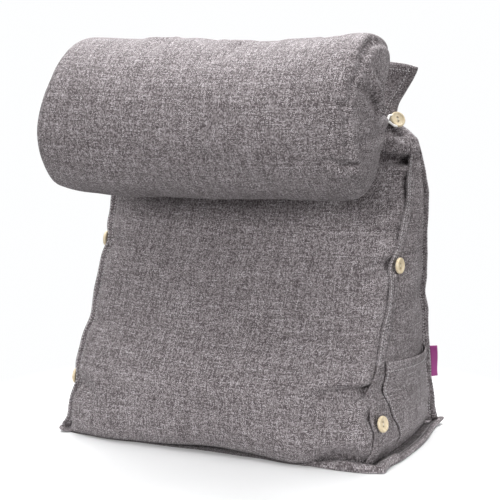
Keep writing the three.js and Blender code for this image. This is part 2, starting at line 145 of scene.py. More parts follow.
def add_node(tree, kind, inputs=None, **settings):
    made = tree.nodes.new(kind)
    for name, value in settings.items():
        setattr(made, name, value)
    fill_all(tree, made, inputs or {})
    return made


def add_sum(tree, operation, first, second=None, third=None):
    made = add_node(tree, "ShaderNodeMath", operation=operation)
    for socket, value in zip(made.inputs, (first, second, third)):
        fill(tree, socket, value)
    return made.outputs[0]


def new_material(name, inputs):
    """A material, its node tree and its surface, whose inputs are filled."""
    material = bpy.data.materials.new(name)
    material.use_nodes = True
    tree = material.node_tree
    surface = tree.nodes["Principled BSDF"]
    fill_all(tree, surface, inputs)
    return material, tree, surface


# %% [markdown]
# ## Linen weave
# The cloth is a plain weave of thick, uneven yarns, about 1.2 mm apart, in light and dark grey. Its slubs, the
# places where a yarn thickens or pales, make short streaks both ways. The group below works in the cloth's own
# flat coordinates (a UV map in metres): it finds the warp and weft yarn at a point, gives each a tone that
# changes along it, and lets the one on top show. It also paints shade into the tone: darker in the gaps where a
# yarn dips under its neighbour and lighter on its top, beside the bump that the same height gives.

# %% Weave group: tone with painted shade between the yarns, and height of the cloth at a point
YARN_PITCH, SLUB_LENGTH = 0.0012, 0.028
WARP_LIGHTER = 0.05
YARN_SPREAD, SLUB_SPREAD, CROSSING_SPREAD = 0.15, 0.6, 0.54
WARP_SLUBS, WEFT_SLUBS = 0.02, 0.12
SLUB_FROM, SLUB_FULL = 0.60, 0.72
YARN_WANDER, WANDER_SIZE, WANDER_STRETCH = 200.0, 0.15, 0.05
NEXT_YARN, WARP_SEED, WEFT_SEED = 7.3, 3.5, 8.5
# Painted shade of the weave: the share of the tone left in the gaps between yarns, and how much lighter a yarn's top
# is painted
GAP_SHADE, TOP_SHADE = 0.75, 0.3


def make_weave_group():
    group = bpy.data.node_groups.new("linen_weave", "ShaderNodeTree")
    sockets = group.interface
    sockets.new_socket("Place", in_out="INPUT", socket_type="NodeSocketVector")
    for name, value in (("Pitch", YARN_PITCH), ("Slub Length", SLUB_LENGTH)):
        sockets.new_socket(name, in_out="INPUT", socket_type="NodeSocketFloat").default_value = value
    for name in ("Shaded Tone", "Height"):
        sockets.new_socket(name, in_out="OUTPUT", socket_type="NodeSocketFloat")
    given = group.nodes.new("NodeGroupInput").outputs
    result = group.nodes.new("NodeGroupOutput").inputs

    def total(operation, first, second=None, third=None):
        return add_sum(group, operation, first, second, third)

    def at(x, y):
        return add_node(group, "ShaderNodeCombineXYZ", {"X": x, "Y": y}).outputs[0]

    def noise(x, y, scale, detail):
        made = add_node(group, "ShaderNodeTexNoise", {"Vector": at(x, y), "Scale": scale, "Detail": detail},
                        noise_dimensions="2D")
        return made.outputs[0]

    def random_of(x, y):
        made = add_node(group, "ShaderNodeTexWhiteNoise", {"Vector": at(x, y)}, noise_dimensions="2D")
        return made.outputs["Value"]

    def spread(value, width, middle):
        return total("MULTIPLY_ADD", value, width, middle - width / 2)

    flat = add_node(group, "ShaderNodeSeparateXYZ", {"Vector": given["Place"]}).outputs
    wander = noise(flat["X"], total("MULTIPLY", flat["Y"], WANDER_STRETCH), YARN_WANDER, 1.0)
    drift = noise(flat["Y"], total("MULTIPLY", flat["X"], WANDER_STRETCH), YARN_WANDER, 1.0)
    across = total("MULTIPLY_ADD", wander, WANDER_SIZE, total("DIVIDE", flat["X"], given["Pitch"]))
    along = total("MULTIPLY_ADD", drift, WANDER_SIZE, total("DIVIDE", flat["Y"], given["Pitch"]))
    warp, weft = total("FLOOR", across), total("FLOOR", along)

    def yarn_tone(yarn, run, shift, middle, slubs):
        slub = noise(total("DIVIDE", run, given["Slub Length"]), total("MULTIPLY", yarn, NEXT_YARN), 1.0, 2.0)
        own = spread(random_of(yarn, shift), YARN_SPREAD, middle)
        pale = add_node(group, "ShaderNodeMapRange", {
            "Value": slub, "From Min": SLUB_FROM, "From Max": SLUB_FULL, "To Max": slubs},
            interpolation_type="SMOOTHSTEP").outputs[0]
        return total("ADD", total("ADD", own, pale), spread(slub, SLUB_SPREAD, 0.0))

    def yarn_round(position):
        middle = total("SUBTRACT", total("FRACT", position), 0.5)
        return total("COSINE", total("MULTIPLY", middle, math.pi))

    warp_tone = yarn_tone(warp, flat["Y"], WARP_SEED, 0.5 + WARP_LIGHTER, WARP_SLUBS)
    weft_tone = yarn_tone(weft, flat["X"], WEFT_SEED, 0.5 - WARP_LIGHTER, WEFT_SLUBS)
    warp_round, weft_round = yarn_round(across), yarn_round(along)
    warp_on_top = total("FLOORED_MODULO", total("ADD", warp, weft), 2.0)

    def shown(weft_value, warp_value):
        made = add_node(group, "ShaderNodeMix", {0: warp_on_top, 2: weft_value, 3: warp_value}, data_type="FLOAT")
        return made.outputs[0]

    top = shown(weft_round, warp_round)
    below = shown(warp_round, weft_round)
    height = total("MULTIPLY", top, total("MULTIPLY_ADD", below, 0.5, 0.5))
    crossing = spread(random_of(warp, weft), CROSSING_SPREAD, 0.0)
    tone = total("ADD", shown(weft_tone, warp_tone), crossing)
    # Painted shade: the tone is darkened in the gaps where a yarn dips under its neighbour and lightened on its top
    shade = total("MULTIPLY_ADD", height, TOP_SHADE, GAP_SHADE)
    fill(group, result["Shaded Tone"], total("MULTIPLY", tone, shade))
    fill(group, result["Height"], height)
    return group


weave_group = make_weave_group()
print("weave nodes:", len(weave_group.nodes))

# %% Linen material
YARN_COLOURS = (
    (0.00, (0.030, 0.024, 0.025)),
    (0.35, (0.110, 0.094, 0.098)),
    (0.62, (0.295, 0.266, 0.275)),
    (1.00, (0.640, 0.605, 0.625)),
)
WEAVE_RELIEF, WEAVE_BUMP = 0.0005, 0.55
LINEN_SURFACE = {"Roughness": 0.92, "Specular IOR Level": 0.25, "Sheen Weight": 0.12, "Sheen Roughness": 0.45}


def make_linen():
    material, tree, surface = new_material("linen", LINEN_SURFACE)
    place = add_node(tree, "ShaderNodeUVMap", uv_map="weave").outputs[0]
    weave = add_node(tree, "ShaderNodeGroup", node_tree=weave_group)
    fill(tree, weave.inputs["Place"], place)
    # The ramp turns the shaded tone into colour, so the painted shade between the yarns is in the base colour
    ramp = add_node(tree, "ShaderNodeValToRGB", {"Fac": weave.outputs["Shaded Tone"]})
    stops = ramp.color_ramp.elements
    while len(stops) < len(YARN_COLOURS):
        stops.new(0.5)
    for stop, (position, colour) in zip(stops, YARN_COLOURS):
        stop.position = position
        stop.color = (*colour, 1.0)
    fill(tree, surface.inputs["Base Color"], ramp.outputs["Color"])
    bump = add_node(tree, "ShaderNodeBump", {
        "Height": weave.outputs["Height"], "Strength": WEAVE_BUMP, "Distance": WEAVE_RELIEF})
    fill(tree, surface.inputs["Normal"], bump.outputs[0])
    return material


linen = make_linen()

# %% [markdown]
# ## Floor
# The floor of the photograph is white as well, and shows only by the soft shadow under the cushion. It is a plain
# pale disc that fades into the white room, so no horizon is seen.

# %% Floor
FLOOR_COLOUR = (0.82, 0.825, 0.83, 1.0)
FLOOR_NEAR, FLOOR_FAR, FLOOR_HALF = 0.26, 0.47, 1.0

floor_material, floor_tree, floor_surface = new_material("pale_floor", {"Base Color": FLOOR_COLOUR, "Roughness": 0.8})
floor_place = add_node(floor_tree, "ShaderNodeTexCoord").outputs["Object"]
floor_distance = add_node(floor_tree, "ShaderNodeVectorMath", {0: floor_place}, operation="LENGTH").outputs["Value"]
floor_fade = add_node(floor_tree, "ShaderNodeMapRange", {
    "Value": floor_distance, "From Min": FLOOR_NEAR, "From Max": FLOOR_FAR, "To Min": 1.0, "To Max": 0.0},
    interpolation_type="SMOOTHSTEP")
fill(floor_tree, floor_surface.inputs["Alpha"], floor_fade.outputs[0])

floor_mesh = bpy.data.meshes.new("floor")
floor_corners = [(x * FLOOR_HALF, y * FLOOR_HALF, 0) for x, y in ((-1, -1), (1, -1), (1, 1), (-1, 1))]
floor_mesh.from_pydata(floor_corners, [], [(0, 1, 2, 3)])
floor_mesh.materials.append(floor_material)
floor = bpy.data.objects.new("floor", floor_mesh)
scene.collection.objects.link(floor)

# %% [markdown]
# ## Shapes from tables
# The wedge is described by a few level sections and the bolster by a few rings, close to those of the CAD part.
# A smooth curve that never passes the measured values turns each column of a table into a function of height.

# %% Smooth curves and meshes from grids
def smooth_curve(at, value):
    at, value = np.asarray(at, float), np.asarray(value, float)
    steepness = np.diff(value) / np.diff(at)
    before, after = np.append(0.0, steepness), np.append(steepness, 0.0)
    same_way = before * after > 0
    slope = np.zeros_like(value)
    slope[same_way] = 2 * (before * after)[same_way] / (before + after)[same_way]

    def curve(place):
        i = np.clip(np.searchsorted(at, place, side="right") - 1, 0, len(at) - 2)
        width = at[i + 1] - at[i]
        t = np.clip((place - at[i]) / width, 0, 1)
        rest = 1 - t
        ends = value[i] * (1 + 2 * t) * rest**2 + value[i + 1] * (1 + 2 * rest) * t**2
        return ends + width * t * rest * (slope[i] * rest - slope[i + 1] * t)

    return curve


def bell(distance, spread):
    return np.exp(-((distance / spread) ** 2))


def unit(vectors):
    return vectors / np.maximum(np.linalg.norm(vectors, axis=-1, keepdims=True), 1e-9)


def even_columns(lines, count):
    """Each row of points spaced evenly along itself, and how far along each new point lies."""
    steps = np.linalg.norm(np.diff(lines, axis=1), axis=2)
    reach = np.concatenate([np.zeros((len(lines), 1)), np.cumsum(steps, axis=1)], axis=1)
    places = np.linspace(0, 1, count + 1) * reach[:, -1:]
    spaced = np.stack([
        np.stack([np.interp(places[r], reach[r], lines[r, :, axis]) for axis in range(3)], axis=-1)
        for r in range(len(lines))
    ])
    return spaced, places


def smooth_line(points, count):
    """Even points along a Catmull-Rom curve through the given points."""
    points = np.asarray(points, float)
    p = np.concatenate([2 * points[:1] - points[1:2], points, 2 * points[-1:] - points[-2:-1]])
    t = np.linspace(0, 1, 24, endpoint=False)[:, None]
    runs = [0.5 * (2 * b + (c - a) * t + (2 * a - 5 * b + 4 * c - d) * t**2 + (3 * b - a - 3 * c + d) * t**3)
            for a, b, c, d in zip(p[:-3], p[1:-2], p[2:-1], p[3:])]
    line = np.concatenate([*runs, points[-1:]])
    return even_columns(line[None], count)[0][0]


def grid_quads(grid):
    """Corner entries of every cell of a grid of rows, in order round the cell."""
    corners = (grid[:-1, :-1], grid[:-1, 1:], grid[1:, 1:], grid[1:, :-1])
    return np.stack(corners, axis=2).reshape(-1, 4, *grid.shape[2:])


def ring_index(rows, count, first=0):
    """Point numbers of rings that follow one another, each closed on its own first point."""
    return first + np.arange(rows)[:, None] * count + np.append(np.arange(count), 0)[None]


def patch_points(ring, wide, deep):
    """Grid of points inside a closed ring of 2 * (wide + deep) points, blended from its four edges."""
    first, second, third = wide, wide + deep, 2 * wide + deep
    near, right = ring[: first + 1], ring[first : second + 1]
    far, left = ring[second : third + 1][::-1], np.concatenate([ring[third:], ring[:1]])[::-1]
    u = np.linspace(0, 1, wide + 1)[None, :, None]
    v = np.linspace(0, 1, deep + 1)[:, None, None]
    ruled = near[None] * (1 - v) + far[None] * v + left[:, None] * (1 - u) + right[:, None] * u
    corners = (near[0] * (1 - u) + near[-1] * u) * (1 - v) + (far[0] * (1 - u) + far[-1] * u) * v
    return ruled - corners


def patch_index(ring, wide, deep, first_inner):
    """Point numbers of such a grid: its rim is the ring, and its inner points follow from first_inner."""
    index = np.empty((deep + 1, wide + 1), int)
    first, second, third = wide, wide + deep, 2 * wide + deep
    index[0], index[:, -1] = ring[: first + 1], ring[first : second + 1]
    index[-1], index[:, 0] = ring[second : third + 1][::-1], np.append(ring[third:], ring[0])[::-1]
    index[1:-1, 1:-1] = first_inner + np.arange((deep - 1) * (wide - 1)).reshape(deep - 1, wide - 1)
    return index


def new_piece(name, points, faces, flat=None, material=None):
    """Mesh object from points in millimetres, with the cloth's flat coordinates in metres for each corner."""
    mesh = bpy.data.meshes.new(name)
    mesh.from_pydata((np.asarray(points) * MM).tolist(), [], [list(map(int, face)) for face in faces])
    mesh.polygons.foreach_set("use_smooth", np.ones(len(mesh.polygons), bool))
    if flat is not None:
        layer = mesh.uv_layers.new(name="weave")
        layer.uv.foreach_set("vector", np.concatenate([np.asarray(f, float).reshape(-1, 2) for f in flat]).ravel())
    if material is not None:
        mesh.materials.append(material)
    piece = bpy.data.objects.new(name, mesh)
    scene.collection.objects.link(piece)
    return piece


# %% Wedge levels, seams, tucks and folds, in millimetres
LEVEL_COLUMNS = ("half", "front", "back", "front_crown", "back_crown", "side_crown", "fullness")
LEVELS = np.array((
    (9.5, 213, -102, 112, 26, 8, 6, 0.24),
    (22, 214, -101, 110, 39, 12, 10, 0.25),
    (40, 214, -100, 108, 47, 14, 13, 0.27),
    (80, 210, -96, 104, 49, 15, 16, 0.31),
    (120, 208, -80, 99, 48, 16, 17, 0.33),
    (160, 208, -54, 93, 47, 17, 17, 0.34),
    (200, 208, -34, 87, 46, 17, 16, 0.35),
    (240, 208, -16, 82, 45, 17, 14, 0.36),
    (280, 210, 5, 76, 45, 16, 12, 0.38),
    (320, 212, 22, 70, 45, 15, 9, 0.41),
    (350, 210, 30, 65, 46, 14, 7, 0.47),
    (378, 209, 36, 60, 47, 13, 5, 0.56),
    (393, 209, 36, 58, 47, 12, 4, 0.63),
    (405, 201, 34, 55, 46, 11, 2, 0.7),
    (421, 183, 30, 50, 44, 9, 1, 0.85),
    (438, 185, 36, 49, 36, 7, 0.6, 1.0),
    (458, 195, 42, 49.5, 22, 4, 0.3, 1.2),
    (480, 206, 45, 49.2, 4, 1, 0.2, 1.3),
    (496, 211, 46, 49.2, 0, 0, 0.1, 1.3),
))
CORNER_COLUMNS = ("side", "end", "lean", "start", "width", "flare", "foot", "lift")
CORNERS = {name: dict(zip(CORNER_COLUMNS, row)) for name, row in {
    "front_right": (1, -1, 102, 0.6, 1.0, 0.0, 6.0, 0.0),
    "back_right": (1, 1, 42, 2.1, 1.0, 8.0, 10.0, 5.0),
    "back_left": (-1, 1, 42, 0.2, 1.0, 7.0, 8.0, 3.0),
    "front_left": (-1, -1, 34, 4.0, 0.85, 0.0, 8.0, 3.0),
}.items()}
# Seam, height, depth and spread of each tuck
TUCKS = (
    ("front_right", 92, 8, 13),
    ("front_right", 60, 4, 10),
    ("front_right", 240, 4, 16),
    ("front_left", 150, 4, 15),
    ("front_left", 68, 5, 15),
    ("front_left", 249, 4, 16),
    ("front_left", 30, -3.5, 26),
    ("front_left", 4, -13, 11),
    ("front_right", 4, 8, 14),
    ("back_right", 191, 4, 18),
    ("back_left", 130, 4, 20),
)
# Start and end of each fold in x and z, its depth and its width
FRONT_FOLDS = (
    (208, 92, 120, 86, 9, 12),
    (208, 58, 160, 55, 4, 10),
    (208, 240, 140, 229, 5, 13),
    (-208, 249, -150, 236, 4, 13),
    (-208, 70, -160, 68, 5, 13),
    (208, 372, 150, 380, 8, 11),
    (116, 14, 165, 14, -9, 32),
    (-165, 14, -115, 14, -6, 30),
)
SIDE_FULLNESS, BACK_FULLNESS = 1.15, 0.5
RUFFLE_SWING, RUFFLE_WAVE, RUFFLE_FADE = 13.0, 74.0, 190.0
RIDGE_DROP, RIDGE_FROM, RIDGE_SHARPNESS = 8.0, 420.0, 10
CONTACT = {"y": -6.7, "z": 425, "slope": 0.231, "low_edge": 350, "low_slope": 0.9, "half": 165, "fade": 25}
CLOTH_GAP, PRESS_SOFTNESS, PRESS_FADE = 0.3, 2.5, 0.25

level_curves = {
    name: smooth_curve(LEVELS[:, 0], LEVELS[:, i + 1]) for i, name in enumerate(LEVEL_COLUMNS)
}


def seam_root(name, z):
    corner = CORNERS[name]
    pull = sum(depth * bell(z - at, spread) for tuck, at, depth, spread in TUCKS if tuck == name)
    x = corner["side"] * (level_curves["half"](z) - pull)
    y = level_curves["front" if corner["end"] < 0 else "back"](z)
    return np.stack([x, y, z], axis=-1)


def seam_out(name, z):
    """The way a flange points, level with its seam."""
    corner = CORNERS[name]
    wave = np.sin(2 * math.pi * z / RUFFLE_WAVE + corner["start"])
    angle = np.radians(corner["lean"] + RUFFLE_SWING * np.exp(-z / RUFFLE_FADE) * wave)
    return np.stack([corner["side"] * np.cos(angle), corner["end"] * np.sin(angle), 0 * z], axis=-1)


def ridge_droop(points):
    x, z = points[..., 0], points[..., 2]
    ridge, half = LEVELS[-1, 0], LEVELS[-1, 1]
    height = np.clip((z - RIDGE_FROM) / (ridge - RIDGE_FROM), 0, 1)
    points[..., 2] = z - RIDGE_DROP * height * np.minimum(1, np.abs(x) / half) ** RIDGE_SHARPNESS
    return points


def contact_y(z):
    low = np.maximum(0, CONTACT["low_edge"] - z)
    return CONTACT["y"] + CONTACT["slope"] * (z - CONTACT["z"]) - CONTACT["low_slope"] * low


def soft_floor(value, floor_value):
    return floor_value + PRESS_SOFTNESS * np.logaddexp(0, (value - floor_value) / PRESS_SOFTNESS)


def fold_depth(x, z):
    depth = 0 * x
    for from_x, from_z, to_x, to_z, deep, width in FRONT_FOLDS:
        run = np.array((to_x - from_x, to_z - from_z), float)
        t = np.clip(((x - from_x) * run[0] + (z - from_z) * run[1]) / (run @ run), 0, 1)
        distance = np.hypot(x - from_x - t * run[0], z - from_z - t * run[1])
        depth = depth + deep * (1 - t * t) * bell(distance, width)
    return depth


# %% Wedge panels between their seams
FINE_STEPS = 240
BELLY = {"drop": 7.6, "left_drop": 7.4, "height": 34.0, "left": 0.0, "rise": 100.0, "right": 150.0, "fade": 34.0,
         "arch": 7.4, "arch_x": 8.0, "arch_spread": 72.0}
LENS = {"raise": 9.0, "left": 128.0, "rise": 36.0, "right": 207.0, "fade": 18.0, "tuck": 13.0, "reach": 7.0,
        "lift": 7.5}
VALLEY = {"left": 0.65, "right": 0.75, "width": 5.0, "top": 345.0, "fade": 34.0}
FRONT_PART = -60.0
across = np.sin(math.pi / 2 * np.linspace(-1, 1, FINE_STEPS + 1))
inside = np.clip(1 - across**2, 0, 1)


def between(start, end):
    share = ((across + 1) / 2)[None, :, None]
    return start[:, None] * (1 - share) + end[:, None] * share


def column(name, z):
    return level_curves[name](z)[:, None]


def ease(value):
    value = np.clip(value, 0, 1)
    return value * value * (3 - 2 * value)


def seam_valley(p, z):
    """How much of the swell is left beside the front seams, where the cloth is held by the flange's stitches."""
    low = 1 - ease((z - VALLEY["top"]) / VALLEY["fade"])[:, None]
    left = VALLEY["left"] * bell(p[..., 0] - p[:, :1, 0], VALLEY["width"])
    right = VALLEY["right"] * bell(p[:, -1:, 0] - p[..., 0], VALLEY["width"])
    return 1 - low * (left + right)


def lens_share(x):
    """1 beside the front right corner, where the front's edge lies high and the flange under it shows as a lens."""
    return ease((x - LENS["left"]) / LENS["rise"]) * ease((LENS["right"] - x) / LENS["fade"])


def over_lens(points):
    """The same for points of a ring, of which only the front ones count."""
    return lens_share(points[..., 0]) * (points[..., 1] < FRONT_PART)


def belly_drop(x, z):
    """How far the foot of the front hangs down: less in the arch of its middle, not at all over the right flange."""
    toward_right = ease((x - BELLY["left"]) / BELLY["rise"])
    drop = BELLY["left_drop"] + (BELLY["drop"] - BELLY["left_drop"]) * toward_right
    drop = drop - BELLY["arch"] * bell(x - BELLY["arch_x"], BELLY["arch_spread"])
    drop = drop * ease((BELLY["right"] - x) / BELLY["fade"])
    drop = drop - LENS["raise"] * lens_share(x)
    return drop * (1 - ease((z - LEVELS[0, 0]) / BELLY["height"]))


def front_panel(z):
    p = between(seam_root("front_left", z), seam_root("front_right", z))
    swell = column("front_crown", z) * inside ** column("fullness", z) * seam_valley(p, z)
    shaped = p[..., 1] - swell + fold_depth(p[..., 0], p[..., 2]) * np.sqrt(inside)
    pressed = soft_floor(shaped, (contact_y(z) + CLOTH_GAP / 2)[:, None])
    p[..., 1] = shaped + (pressed - shaped) * inside**PRESS_FADE
    p[..., 2] -= belly_drop(p[..., 0], p[..., 2])
    return p


def side_panel(z, side):
    names = ("front_right", "back_right") if side > 0 else ("back_left", "front_left")
    p = between(seam_root(names[0], z), seam_root(names[1], z))
    p[..., 0] += side * column("side_crown", z) * inside**SIDE_FULLNESS
    return p


def back_panel(z):
    p = between(seam_root("back_right", z), seam_root("back_left", z))
    p[..., 1] += column("back_crown", z) * inside**BACK_FULLNESS
    return p


# %% Outline of the base, and where its seam is hidden under the front
FRONT_COLUMNS, SIDE_COLUMNS, WEDGE_ROWS = 88, 36, 82
BASE = {"half": 226.0, "front": -114.0, "back": 121.0, "front_crown": 22.0, "side_crown": -4.0, "right_crown": 11.0,
        "back_crown": -4.0, "fullness": 0.44, "hollow": 32.0, "hollow_spread": 110.0, "corner_spread": 10.0}
HIDDEN = {"left": -208.0, "right": 146.0, "fade": 26.0, "tuck": 14.0}


def base_outline(fine):
    """Ring of points round the base flange, a number of them for each column of the cover."""
    corners = {name: np.array([[c["side"] * BASE["half"], BASE["front" if c["end"] < 0 else "back"], 0.0]])
               for name, c in CORNERS.items()}
    front = between(corners["front_left"], corners["front_right"])
    hollow = BASE["hollow"] * bell(front[..., 0], BASE["hollow_spread"]) * np.sqrt(inside)
    front[..., 1] += hollow - BASE["front_crown"] * inside ** BASE["fullness"]
    right = between(corners["front_right"], corners["back_right"])
    right[..., 0] += BASE["right_crown"] * inside**SIDE_FULLNESS
    back = between(corners["back_right"], corners["back_left"])
    back[..., 1] += BASE["back_crown"] * inside**BACK_FULLNESS
    left = between(corners["back_left"], corners["front_left"])
    left[..., 0] -= BASE["side_crown"] * inside**SIDE_FULLNESS
    counts = (FRONT_COLUMNS, SIDE_COLUMNS, FRONT_COLUMNS, SIDE_COLUMNS)
    return np.concatenate([even_columns(line, fine * count)[0][0][:-1]
                           for line, count in zip((front, right, back, left), counts)])


def hidden_front(points):
    """1 where the base seam is drawn back under the front edge, 0 where it shows."""
    x, y = points[..., 0], points[..., 1]
    from_left, from_right = (x - HIDDEN["left"]) / HIDDEN["fade"], (HIDDEN["right"] - x) / HIDDEN["fade"]
    return ease(from_left) * ease(from_right) * (y < FRONT_PART)


# %% Wedge cover as one closed grid of quads
BASE_RINGS = ((0.35, 0.75), (0.75, 0.4), (1.0, 0.12))
BASE_TUCK = 3.0
# Where each part of the cloth starts in the flat coordinates, so that no two share a stretch of weave
ISLANDS = {"front": 0.0, "right": 1.0, "back": 2.0, "left": 3.0, "base": 4.0, "bolster": 6.0, "bolster_end": 8.0,
           "sweep": 10.0, "base_flange": 16.0, "pocket": 18.0}

wedge_z = np.linspace(LEVELS[0, 0], LEVELS[-1, 0], WEDGE_ROWS + 1)
panel_lines = {
    "front": (front_panel(wedge_z), FRONT_COLUMNS),
    "right": (side_panel(wedge_z, 1), SIDE_COLUMNS),
    "back": (back_panel(wedge_z), FRONT_COLUMNS),
    "left": (side_panel(wedge_z, -1), SIDE_COLUMNS),
}
ring_size = 2 * (FRONT_COLUMNS + SIDE_COLUMNS)
ring_points, wedge_faces, wedge_flat, first_column = [], [], [], 0
for name, (lines, count) in panel_lines.items():
    spaced, places = even_columns(ridge_droop(lines), count)
    rise = np.linalg.norm(np.diff(spaced[:, count // 2], axis=0), axis=1)
    flat_v = np.append(0, np.cumsum(rise))[:, None] + 0 * places
    flat_u = places - places[:, -1:] / 2
    flat = np.stack([flat_u * MM + ISLANDS[name], flat_v * MM], axis=-1)
    columns = (first_column + np.arange(count + 1)) % ring_size
    index = np.arange(WEDGE_ROWS + 1)[:, None] * ring_size + columns[None]
    wedge_faces.extend(grid_quads(index).tolist())
    wedge_flat.extend(grid_quads(flat))
    ring_points.append(spaced[:, :-1])
    first_column += count
body_rows = np.concatenate(ring_points, axis=1)

base_centre = body_rows[0].mean(axis=0)
outward = unit((body_rows[0] - base_centre) * (1, 1, 0))
stands_out = ((base_outline(1) - body_rows[0]) * outward).sum(axis=1)
drawn_in = -BASE_TUCK - HIDDEN["tuck"] * hidden_front(body_rows[0]) - LENS["tuck"] * over_lens(body_rows[0])
tucked = np.minimum(stands_out, drawn_in)
base_rows = []
for share, height in BASE_RINGS:
    ring = body_rows[0] + outward * (share * tucked)[:, None]
    ring[:, 2] = height * body_rows[0][:, 2]
    base_rows.append(ring)
base_patch = patch_points(base_rows[-1], FRONT_COLUMNS, SIDE_COLUMNS)
base_start = body_rows.shape[0] * ring_size
base_index = np.concatenate([ring_index(1, ring_size), ring_index(len(BASE_RINGS), ring_size, base_start)])
base_grid = patch_index(base_index[-1][:-1], FRONT_COLUMNS, SIDE_COLUMNS, base_start + len(BASE_RINGS) * ring_size)
wedge_points = np.concatenate([body_rows.reshape(-1, 3), *base_rows, base_patch[1:-1, 1:-1].reshape(-1, 3)])
base_quads = np.concatenate([grid_quads(base_index), grid_quads(base_grid)])[:, ::-1]
top_start = WEDGE_ROWS * ring_size
top_front = top_start + np.arange(FRONT_COLUMNS + 1)
top_back = top_start + FRONT_COLUMNS + SIDE_COLUMNS + np.arange(FRONT_COLUMNS + 1)[::-1]
top_quads = [(top_front[i], top_front[i + 1], top_back[i + 1], top_back[i]) for i in range(1, FRONT_COLUMNS - 1)]
right_end = [*range(top_front[-2], top_back[-2] + 1)]
left_end = [*range(top_back[1], top_start + ring_size), top_front[0], top_front[1]]
for face in (*base_quads.tolist(), *top_quads, right_end, left_end):
    wedge_faces.append(list(face))
    wedge_flat.append(wedge_points[list(face), :2] * MM + (ISLANDS["base"], 0.0))
wedge = new_piece("wedge_cover", wedge_points, wedge_faces, wedge_flat, linen)
print("wedge quads:", len(wedge_faces))

# %% [markdown]
# ## Filling the covers
# A sewn cover is cut a little larger than it needs to be and is blown up by its filling, so it puckers along its
# seams and creases where it is tucked. Blender's Cloth does the same: the seams are pinned, the cloth is let out a
# little, and pressure pushes it outward for a few frames. Only the wrinkles are kept. Their broad part is taken
# away again, because the tables already hold the cushion's measured shape.

# %% Cloth filling of a cover
FILL_FRAMES = 16
CLOTH = {
    "quality": 5, "mass": 0.3, "tension_stiffness": 18, "compression_stiffness": 18, "shear_stiffness": 8,
    "bending_stiffness": 0.6, "air_damping": 2, "shrink_min": -0.025, "use_pressure": True,
    "uniform_pressure_force": 1.5, "vertex_group_mass": "sewn", "pin_stiffness": 1,
}
LUMP_WAVES, LUMP_SUM = 14, 5.0
START_UNEVEN, START_LUMPS = 0.5, 40
BROAD_PASSES = 40
WRINKLE_CAP = 7.0


def vertex_vectors(piece, what):
    flat_list = np.empty(len(piece.data.vertices) * 3, np.float32)
    piece.data.vertices.foreach_get(what, flat_list)
    return flat_list.reshape(-1, 3).astype(float)


def mesh_points(piece):
    return vertex_vectors(piece, "co") / MM


def mesh_normals(piece):
    return vertex_vectors(piece, "normal")


def set_points(piece, points):
    piece.data.vertices.foreach_set("co", (np.asarray(points) * MM).ravel())
    piece.data.update()


def mesh_edges(piece):
    pairs = np.empty(len(piece.data.edges) * 2, np.int32)
    piece.data.edges.foreach_get("vertices", pairs)
    return pairs.reshape(-1, 2)


def smoothed(values, edges, times):
    """Values of a mesh's points, averaged with their neighbours a number of times."""
    count = np.bincount(edges.ravel(), minlength=len(values)) + 1.0
    for _ in range(times):
        total = values.copy()
        np.add.at(total, edges[:, 0], values[edges[:, 1]])
        np.add.at(total, edges[:, 1], values[edges[:, 0]])
        values = total / (count if values.ndim == 1 else count[:, None])
    return values


def lumps(points, size, seed):
    """Smooth seeded unevenness of a filling, about -1 to 1, with lumps of about the given size."""
    draw = np.random.default_rng(seed)
    waves = unit(draw.normal(size=(LUMP_WAVES, 3))) * (2 * math.pi / size) * draw.uniform(0.5, 1.2, (LUMP_WAVES, 1))
    phases = draw.uniform(0, 2 * math.pi, LUMP_WAVES)
    return np.sin(points @ waves.T + phases).sum(axis=1) / LUMP_SUM


def fill_cover(piece, held):
    """Where the cover's points lie after a few frames of Cloth with pressure, its held points staying still."""
    group = piece.vertex_groups.new(name="sewn")
    for weight in np.unique(held):
        if weight > 0:
            group.add(np.flatnonzero(held == weight).tolist(), float(weight), "REPLACE")
    cloth = piece.modifiers.new("filling", "CLOTH")
    for key, value in CLOTH.items():
        setattr(cloth.settings, key, value)
    cloth.settings.effector_weights.gravity = 0
    cloth.collision_settings.use_collision = False
    cloth.point_cache.frame_start = 1
    cloth.point_cache.frame_end = FILL_FRAMES
    for step in range(1, FILL_FRAMES + 1):
        scene.frame_set(step)
    filled = mesh_points(piece.evaluated_get(bpy.context.evaluated_depsgraph_get()))
    piece.modifiers.remove(cloth)
    piece.vertex_groups.remove(group)
    scene.frame_set(1)
    return filled


def wrinkle_cover(piece, held, seed, share, held_still):
    """Moves a cover's points by the wrinkles that its filling makes, and by a share of them only."""
    rest = mesh_points(piece)
    uneven = mesh_normals(piece) * START_UNEVEN * lumps(rest, START_LUMPS, seed)[:, None]
    set_points(piece, rest + uneven)
    moved = fill_cover(piece, held) - rest
    wrinkle = moved - smoothed(moved, mesh_edges(piece), BROAD_PASSES)
    size = np.linalg.norm(wrinkle, axis=1, keepdims=True)
    wrinkle *= np.minimum(1, WRINKLE_CAP / np.maximum(size, 1e-6)) * share
    if held_still:
        wrinkle[held == 1.0] = 0
    set_points(piece, rest + wrinkle)
    middle, most = np.percentile(size, (50, 99)).round(2)
    print(piece.name, "swell mm:", np.abs(moved).max().round(1), "wrinkles mm:", middle, "to", most)


def make_modifiers_real(piece):
    """The mesh that a piece's modifiers give, in place of its own."""
    depsgraph = bpy.context.evaluated_depsgraph_get()
    finished = bpy.data.meshes.new_from_object(piece.evaluated_get(depsgraph), depsgraph=depsgraph)
    piece.modifiers.clear()
    first, name = piece.data, piece.name
    piece.data = finished
    bpy.data.meshes.remove(first)
    finished.name = name


def subdivided(piece):
    """One level of subdivision, made part of the mesh."""
    smooth = piece.modifiers.new("smooth", "SUBSURF")
    smooth.levels = smooth.render_levels = 1
    make_modifiers_real(piece)


# %% Wrinkles of the wedge cover
WEDGE_WRINKLES = 0.5
FLAP_FROM, FOOT_TO = 425.0, LEVELS[0, 0] + 1


def flap_or_foot(points):
    return (points[:, 2] > FLAP_FROM) | (points[:, 2] < FOOT_TO)


